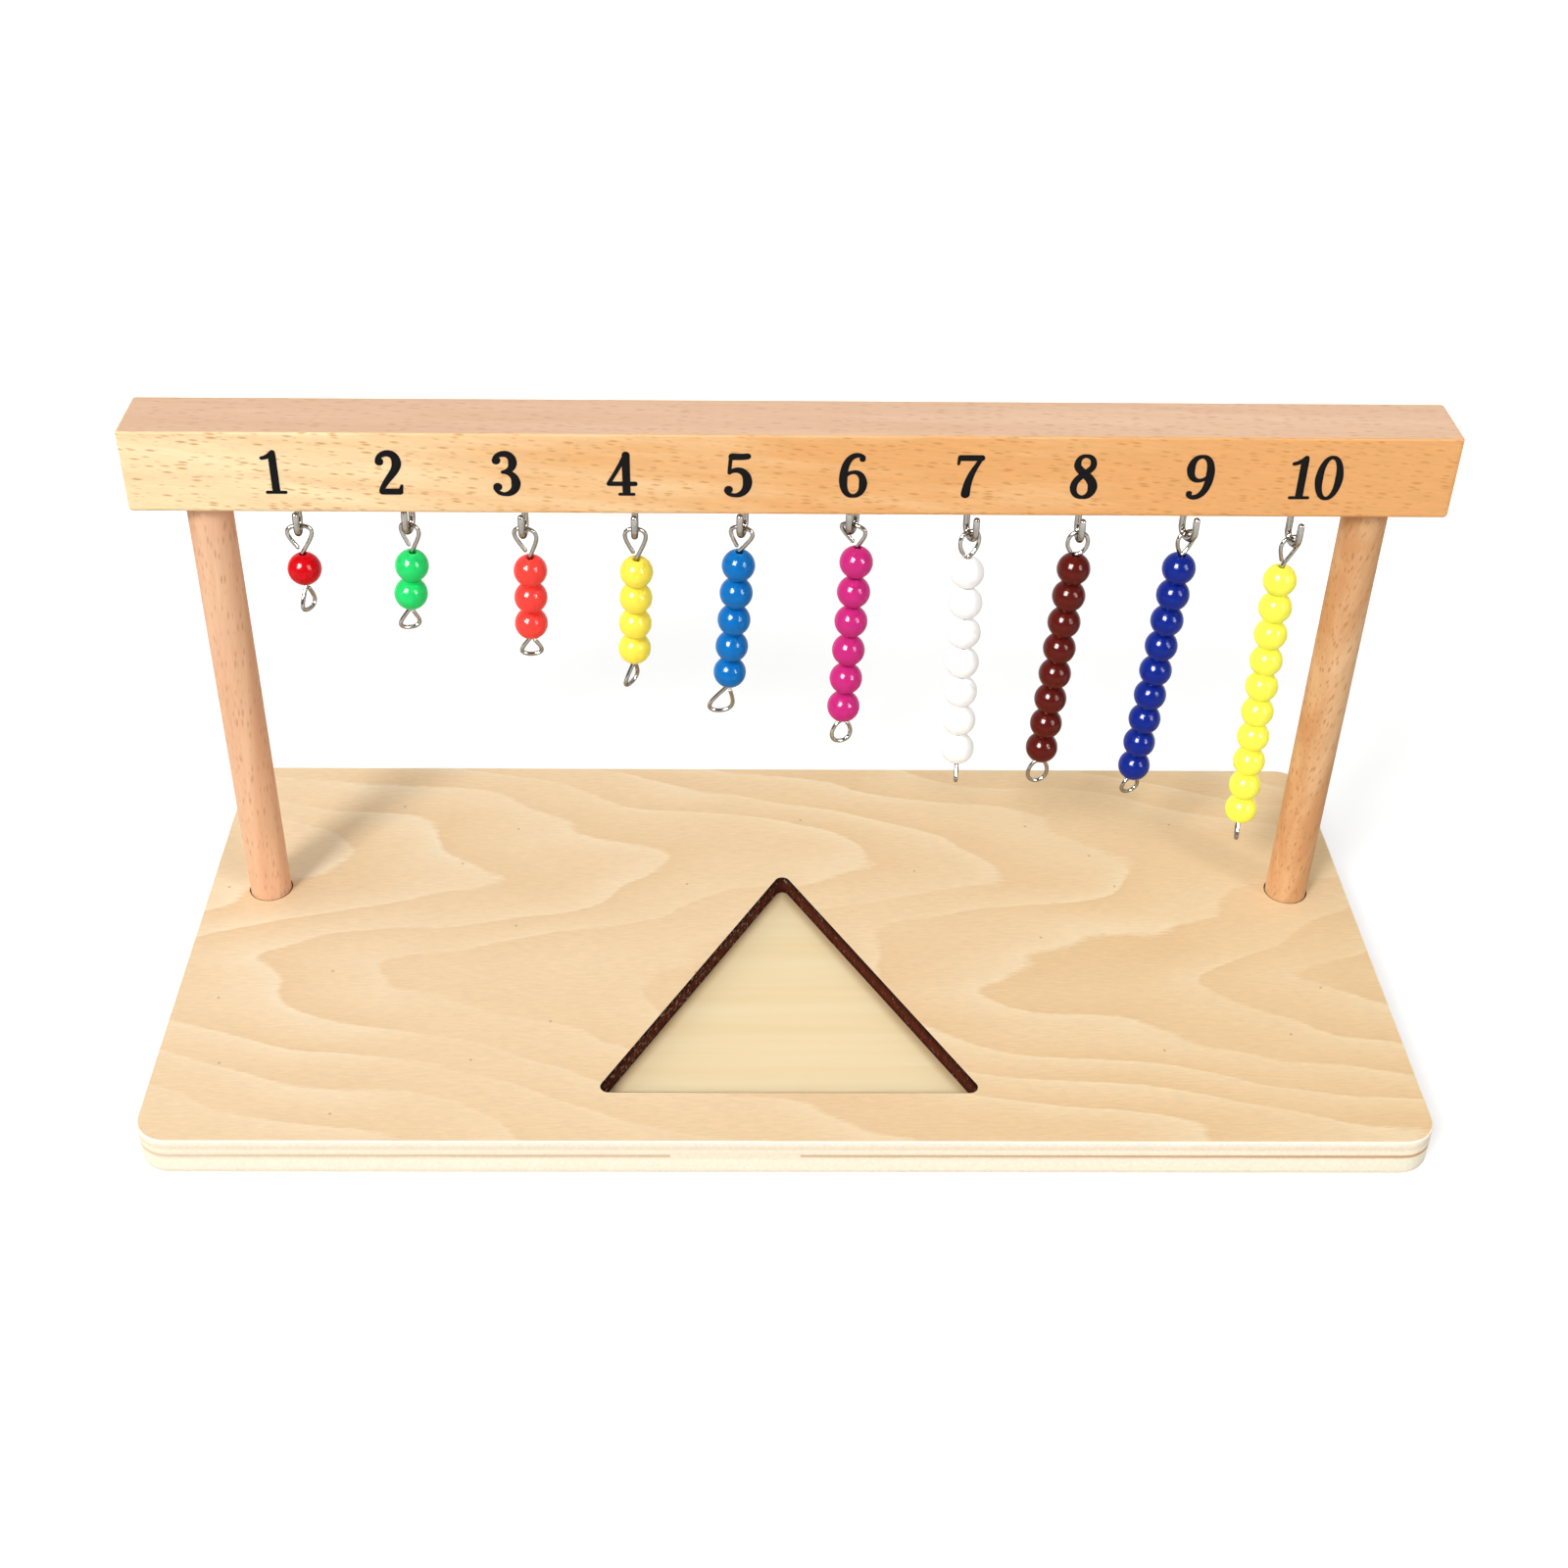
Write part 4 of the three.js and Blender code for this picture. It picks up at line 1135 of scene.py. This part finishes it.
def wire_tube(path, plane_normals, radius):
    """Rings path + r (cos a * (normal x direction) + sin a * normal), with a dome on each end."""
    steps = np.diff(path, axis=0)
    steps /= np.linalg.norm(steps, axis=1, keepdims=True)
    directions = np.concatenate([steps[:1], steps[:-1] + steps[1:], steps[-1:]])
    directions /= np.linalg.norm(directions, axis=1, keepdims=True)
    radii = np.full(len(path), radius)

    reach = radius * np.sin(DOME_ANGLES)[:, None]
    shrink = radius * np.cos(DOME_ANGLES)
    start = (path[0] - reach * directions[0])[::-1]
    end = path[-1] + reach * directions[-1]
    ends = len(DOME_ANGLES)
    path = np.concatenate([start, path, end])
    directions = np.pad(directions, ((ends, ends), (0, 0)), mode="edge")
    normals = np.pad(plane_normals, ((ends, ends), (0, 0)), mode="edge")
    radii = np.concatenate([shrink[::-1], radii, shrink])

    angle = np.linspace(0, 2 * np.pi, WIRE_SIDES, endpoint=False)
    normals = normals - (normals * directions).sum(axis=1, keepdims=True) * directions
    normals /= np.linalg.norm(normals, axis=1, keepdims=True)
    sideways = np.cross(normals, directions)
    rings = np.cos(angle)[None, :, None] * sideways[:, None] + np.sin(angle)[None, :, None] * normals[:, None]
    grid = path[:, None] + radii[:, None, None] * rings
    faces = ring_faces(*grid.shape[:2])
    last = (len(path) - 1) * WIRE_SIDES
    first_cap = np.arange(WIRE_SIDES)[::-1]
    last_cap = last + np.arange(WIRE_SIDES)
    return grid.reshape(-1, 3), faces, np.stack([first_cap, last_cap])


def wire_parts(points, faces, caps):
    """The tube and its two flat tips, which share the tube's points."""
    return [(points, faces, 0, True), (points, caps, 0, True)]


straight_wire = wire_tube(np.array([[0.0, 0, 0], [0, 0, 5]]), np.array([[1.0, 0, 0]] * 2), 0.5)
print("points on a straight wire", len(straight_wire[0]))

# %% [markdown]
# ## Hooks
#
# Each hook is an open screw hook: its screw is in the beam, the shank comes straight down behind, a half
# circle carries the load, and the open end points up in front. They were screwed in by hand, so each one
# stops at its own angle and depth, with the last turns of its thread in sight. The thread is a groove:
# where the angle round the shank and the height agree, the rings of the tube are drawn in.

# %% Make the hooks
HOOK_MOUTH = 4.3
HOOK_POINT = 1.5
HOOK_TIP_DOME = 0.3
BEND_STEPS = 33
THREAD_PITCH = 0.75
THREAD_DEPTH = 0.24
THREAD_END = -2.0
THREAD_STEP = 0.09


def turned_about_z(points, turn):
    """Points turned anticlockwise about +Z: (x cos t - y sin t, x sin t + y cos t, z)."""
    cosine, sine = np.cos(turn), np.sin(turn)
    return points @ np.array([[cosine, sine, 0], [-sine, cosine, 0], [0, 0, 1]])


def hook_path():
    """Shank, half circle (0, r cos a, -d - r sin a) and open end, with the beam's underside at z = 0."""
    depth = HOOK_DROP - HOOK_WIRE / 2 - HOOK_BEND
    angle = np.radians(np.linspace(0, 180, BEND_STEPS))
    bend = np.stack([0 * angle, HOOK_BEND * np.cos(angle), -depth - HOOK_BEND * np.sin(angle)], axis=1)
    height = np.arange(HOOK_SCREW - HOOK_POINT, THREAD_END, -THREAD_STEP)
    shank = np.stack([0 * height, 0 * height + HOOK_BEND, height], axis=1)
    tip = [[0, -HOOK_BEND, -HOOK_MOUTH - HOOK_TIP_DOME]]
    return np.concatenate([shank, bend, tip])


def threaded(points):
    """The shank drawn in by depth * ((1 + cos(angle - 2 pi z / pitch)) / 2) squared."""
    from_axis = points - [0, HOOK_BEND, 0]
    angle = np.arctan2(from_axis[:, 1], from_axis[:, 0])
    groove = ((1 + np.cos(angle - 2 * np.pi * points[:, 2] / THREAD_PITCH)) / 2) ** 2
    runs_out = np.clip((points[:, 2] - THREAD_END) / THREAD_PITCH, 0, 1)
    drawn_in = 1 - THREAD_DEPTH / (HOOK_WIRE / 2) * groove * runs_out
    return from_axis * np.stack([drawn_in, drawn_in, 1 + 0 * drawn_in], axis=1) + [0, HOOK_BEND, 0]


path = hook_path()
across_hook = np.tile([1.0, 0, 0], (len(path), 1))
hook_points, hook_faces, hook_caps = wire_tube(path, across_hook, HOOK_WIRE / 2)
hook_points = threaded(hook_points)
for number, hook_place, turn in zip(bar_numbers, hook_places, np.radians(HOOK_TURNS)):
    points = turned_about_z(hook_points, turn) + hook_place
    parts = wire_parts(points, hook_faces, hook_caps)
    make_piece(f"screw_hook_{number}", parts, [nickel], "stand", [f"hook_{number}"])
print("hooks", len(HOOK_TURNS), "with", len(hook_points), "points each")

# %% [markdown]
# ## Bead bars
#
# A bar is one length of wire: a loop bent with round-nosed pliers, a straight stem through the beads, and
# a second loop that keeps them on. A loop runs straight out from its neck, turns two corners and is flat
# at its far end, as pliers leave it, and it stops short of the neck. A few loops are rounder, almost
# rings. The corners are eased by a moving average along the wire, as steel bends. No two loops are alike,
# and the bars hang crooked; the axis of each bar's beads says how much.

# %% The loops of a bar
# Width, height and roundness of the loops at the top and at the end of each bar
TOP_LOOPS = [
    (5.7, 7, 0), (4.4, 7.2, 0), (5.2, 8, 0), (4.9, 8.5, 0), (5.3, 6.5, 0),
    (5.9, 5.6, 0), (5.2, 6.3, 0.7), (4.9, 6, 0.9), (5.1, 6.3, 0.4), (4.8, 7.7, 0),
]
END_LOOPS = [
    (4.6, 6.5, 0), (4.6, 5.6, 0), (4.8, 5.4, 0), (4.8, 7.2, 0), (5.6, 8, 0),
    (5.1, 5.8, 0.7), (4.4, 4.6, 0), (5.2, 6.6, 0.8), (4.9, 4.7, 0.8), (4.4, 4.8, 0),
]
LOOP_FIRST_ANGLE = 4
LOOP_OPENING = 54
ROUND_LOOP_OPENING = 38
LOOP_FULLNESS = 4
LOOP_STEPS = 120


def bent_loop(size, turn, aside):
    """Rises from its neck by (1 - cos a) / 2 of its height. Its width there lies between that of a drop,
    rise * sqrt(1 - rise ** fullness), and that of a ring, sin a; the roundness says where."""
    width, height, roundness = size
    opening = LOOP_OPENING + (ROUND_LOOP_OPENING - LOOP_OPENING) * roundness
    widest_rise = (2 / (2 + LOOP_FULLNESS)) ** (1 / LOOP_FULLNESS)
    widest = widest_rise * math.sqrt(LOOP_FULLNESS / (2 + LOOP_FULLNESS))
    angle = np.radians(np.linspace(LOOP_FIRST_ANGLE, 360 - opening, LOOP_STEPS))
    rise = (1 - np.cos(angle)) / 2
    drop = np.sign(np.sin(angle)) * rise * np.sqrt(1 - rise ** LOOP_FULLNESS) / widest
    across = width / 2 * (drop + (np.sin(angle) - drop) * roundness)
    return np.stack([across * np.cos(turn) + aside * rise, across * np.sin(turn), height * rise], axis=1)


print("widest loop", max(size[0] for size in TOP_LOOPS + END_LOOPS), "mm")

# %% Ease the corners
WIRE_STEP = 0.12
EASING_LENGTH = 1.0


def eased(path):
    """The path in even steps, averaged over a short window so that its corners become bends."""
    gaps = np.linalg.norm(np.diff(path, axis=0), axis=1)
    reached = np.concatenate([[0], np.cumsum(gaps)])
    even = np.linspace(0, reached[-1], int(reached[-1] / WIRE_STEP))
    points = np.stack([np.interp(even, reached, column) for column in path.T], axis=1)
    half = int(EASING_LENGTH / WIRE_STEP / 2)
    window = np.hanning(2 * half + 3)[1:-1]
    window /= window.sum()
    before = 2 * points[0] - points[half:0:-1]
    after = 2 * points[-1] - points[-2:-half - 2:-1]
    padded = np.concatenate([before, points, after])
    return np.stack([np.convolve(column, window, mode="valid") for column in padded.T], axis=1)


square_corner = np.array([[0.0, 0, 0], [0, 0, 5], [5, 0, 5]])
print("points round an eased corner", len(eased(square_corner)))

# %% The path of a bar
NECK_GAP = 0.3
BEAD_LENGTH = 7.6
BEAD_GAP = 0.2
LOOSE_BEAD_BARS = 7
END_LOOP_ASIDES = [0, 0, 0, -0.8, -2, 0, 0, 0, 0, 0]
END_LOOP_TURNS = [62, 20, 6, 55, 4, 18, 82, 10, 24, 78]
STEM_STRIDE = 25


def row_length(count):
    """Beads * length + gaps * gap; the beads of the longest bars touch."""
    gaps = 0 if count > LOOSE_BEAD_BARS else count - 1
    return count * BEAD_LENGTH + gaps * BEAD_GAP


def bar_path(number, stem_aside):
    """Loop, stem and loop of a bar hung from the origin, with the normals (-sin t, cos t, 0) of its bends."""
    top_loop, end_loop = TOP_LOOPS[number - 1], END_LOOPS[number - 1]
    upper_turn, lower_turn = np.radians([HOOK_TURNS[number - 1], END_LOOP_TURNS[number - 1]])
    upper_neck = np.array([stem_aside, 0, -top_loop[1]])
    lower_neck = upper_neck - [0, 0, row_length(number) + 2 * NECK_GAP]
    path = eased(np.concatenate([
        bent_loop(top_loop, upper_turn, -stem_aside)[::-1] + upper_neck,
        [upper_neck, lower_neck],
        lower_neck - bent_loop(end_loop, lower_turn, -END_LOOP_ASIDES[number - 1]),
    ]))
    depth = path[:, 2]
    down_stem = np.clip((upper_neck[2] - depth) / (upper_neck[2] - lower_neck[2]), 0, 1)
    turn = upper_turn + (lower_turn - upper_turn) * down_stem
    normals = np.stack([-np.sin(turn), np.cos(turn), 0 * turn], axis=1)
    on_stem = (depth < upper_neck[2] - EASING_LENGTH) & (depth > lower_neck[2] + EASING_LENGTH)
    kept = ~on_stem | (np.arange(len(path)) % STEM_STRIDE == 0)
    return path[kept], normals[kept]


print("rows of beads", [round(row_length(number), 1) for number in bar_numbers], "mm")

# %% Make the bar wires
def lean_of(axis):
    """The turn that takes +Z to the axis, first about Y by asin(x) and then about X by atan(-y / z)."""
    left = math.asin(axis[0])
    back = math.atan2(-axis[1], axis[2])
    return np.array(Matrix.Rotation(back, 3, "X") @ Matrix.Rotation(left, 3, "Y"))


leans = []
stem_asides = []
for number, pivot in zip(bar_numbers, pivots):
    bead_joint = joints[f"bead_row_{number}_turn"]
    lean = lean_of(bead_joint["axis"])
    stem_aside = ((np.array(bead_joint["pos_m"]) / MM - pivot) @ lean)[0]
    path, normals = bar_path(number, stem_aside)
    points, faces, caps = wire_tube(path, normals, BAR_WIRE / 2)
    parts = wire_parts(points @ lean.T + pivot, faces, caps)
    make_piece(f"bar_wire_{number}", parts, [nickel], f"bar_{number}", [f"bead_wire_{number}"])
    leans.append(lean)
    stem_asides.append(stem_aside)
print("stems aside", np.round(stem_asides, 2))

# %% [markdown]
# ## Beads
#
# The beads are moulded from acrylic and tumbled to a shine: balls with a small flat and a hole at each
# end. A UV sphere would have its poles where the hole has to go. A half profile turned about the hole
# gives one closed surface without poles: a sphere's arc, a flat, a small rounding into the hole, and the
# same again on the way back.

# %% Material: bead acrylic
BEAD_COLOURS = {
    "red": "#d60a16", "green": "#26dc70", "coral": "#fd463e", "yellow": "#ffec52", "blue": "#0b70be",
    "magenta": "#ca2a7d", "white": "#ffffff", "brown": "#5d1811", "navy": "#11288b", "lemon": "#ffff58",
}
SWIRL_SIZE = 3
# Tumbling marks are far finer, and are drawn as coarse as they need to be to show
TUMBLE_MARK = 0.5
ACRYLIC_IOR = 1.49
ACRYLIC_GLOSS = 0.12


def bead_acrylic(name, hex_colour):
    """Colour * (0.98 to 1.02) where the pigment swirls; roughness by a finer noise, the marks of tumbling."""
    material, tree, shader, place_on_bead = start_material(f"{name}_acrylic")
    swirl = add(tree, "TexNoise", {
        "Vector": place_on_bead, "Scale": 1 / (SWIRL_SIZE * MM), "Detail": 1, "Distortion": 0.6,
    })
    tone = add(tree, "MapRange", {"Value": swirl, "To Min": 0.98, "To Max": 1.02})
    colour = add(tree, "Mix", {
        "Factor": 1.0, "A": hex_colour, "B": tone,
    }, data_type="RGBA", blend_type="MULTIPLY")
    marks = add(tree, "TexNoise", {"Vector": place_on_bead, "Scale": 1 / (TUMBLE_MARK * MM), "Detail": 2})
    polish = add(tree, "MapRange", {"Value": marks, **NOISE_RANGE, "To Min": 0.12, "To Max": 0.15})
    connect(tree, shader, {
        "Base Color": colour, "Roughness": polish, "IOR": ACRYLIC_IOR, "Specular IOR Level": ACRYLIC_GLOSS,
    })
    return material


acrylics = [bead_acrylic(name, hex_colour) for name, hex_colour in BEAD_COLOURS.items()]
print("acrylics", len(acrylics))

# %% The shape of a bead
BEAD_DIAMETER = 8
BEAD_BORE = 1.8
BORE_ROUNDING = 0.22
BEAD_SIDES = 48
BEAD_ARC_STEPS = 33
ROUNDING_STEPS = 4


def bead_grid():
    """Profile points (r, z) turned about +Z to (r cos a, r sin a, z); the rows run round the profile."""
    radius, half = BEAD_DIAMETER / 2, BEAD_LENGTH / 2
    latitude = np.linspace(-1, 1, BEAD_ARC_STEPS) * math.asin(BEAD_LENGTH / BEAD_DIAMETER)
    ball = np.stack([radius * np.cos(latitude), radius * np.sin(latitude)], axis=1)
    turn = np.radians(np.linspace(0, 90, ROUNDING_STEPS))
    lip = np.stack([
        BEAD_BORE / 2 + BORE_ROUNDING * (1 - np.sin(turn)),
        half - BORE_ROUNDING * (1 - np.cos(turn)),
    ], axis=1)
    profile = np.concatenate([ball, lip, lip[::-1] * [1, -1]])
    angle = np.linspace(0, 2 * np.pi, BEAD_SIDES, endpoint=False)
    around = np.stack([np.cos(angle), np.sin(angle)], axis=1)
    across = profile[:, None, :1] * around[None]
    heights = np.broadcast_to(profile[:, None, 1:], (len(profile), BEAD_SIDES, 1))
    return np.concatenate([across, heights], axis=-1)


bead = bead_grid()
bead_points = bead.reshape(-1, 3)
bead_faces = ring_faces(*bead.shape[:2], close_rows=True)
print("bead", len(bead_points), "points,", len(bead_faces), "faces")

# %% String the beads
for number, colour_name, acrylic in zip(bar_numbers, BEAD_COLOURS, acrylics):
    pitch = BEAD_LENGTH if number > LOOSE_BEAD_BARS else BEAD_LENGTH + BEAD_GAP
    middles = -TOP_LOOPS[number - 1][1] - NECK_GAP - BEAD_LENGTH / 2 - pitch * np.arange(number)
    strung = []
    for middle in middles:
        on_stem = bead_points + [stem_asides[number - 1], 0, middle]
        strung.append((on_stem @ leans[number - 1].T + pivots[number - 1], bead_faces, 0, True))
    body, slot = f"bead_row_{number}", f"{colour_name}_bead"
    if number > LOOSE_BEAD_BARS:
        make_piece(f"bead_string_{number}", strung, [acrylic], body, [f"beads_{number}"])
        continue
    for order, part in enumerate(strung, start=1):
        make_piece(f"ball_{number}_{order}", [part], [acrylic], body, [f"bead_{number}_{order}"])
print("beads strung", sum(bar_numbers))
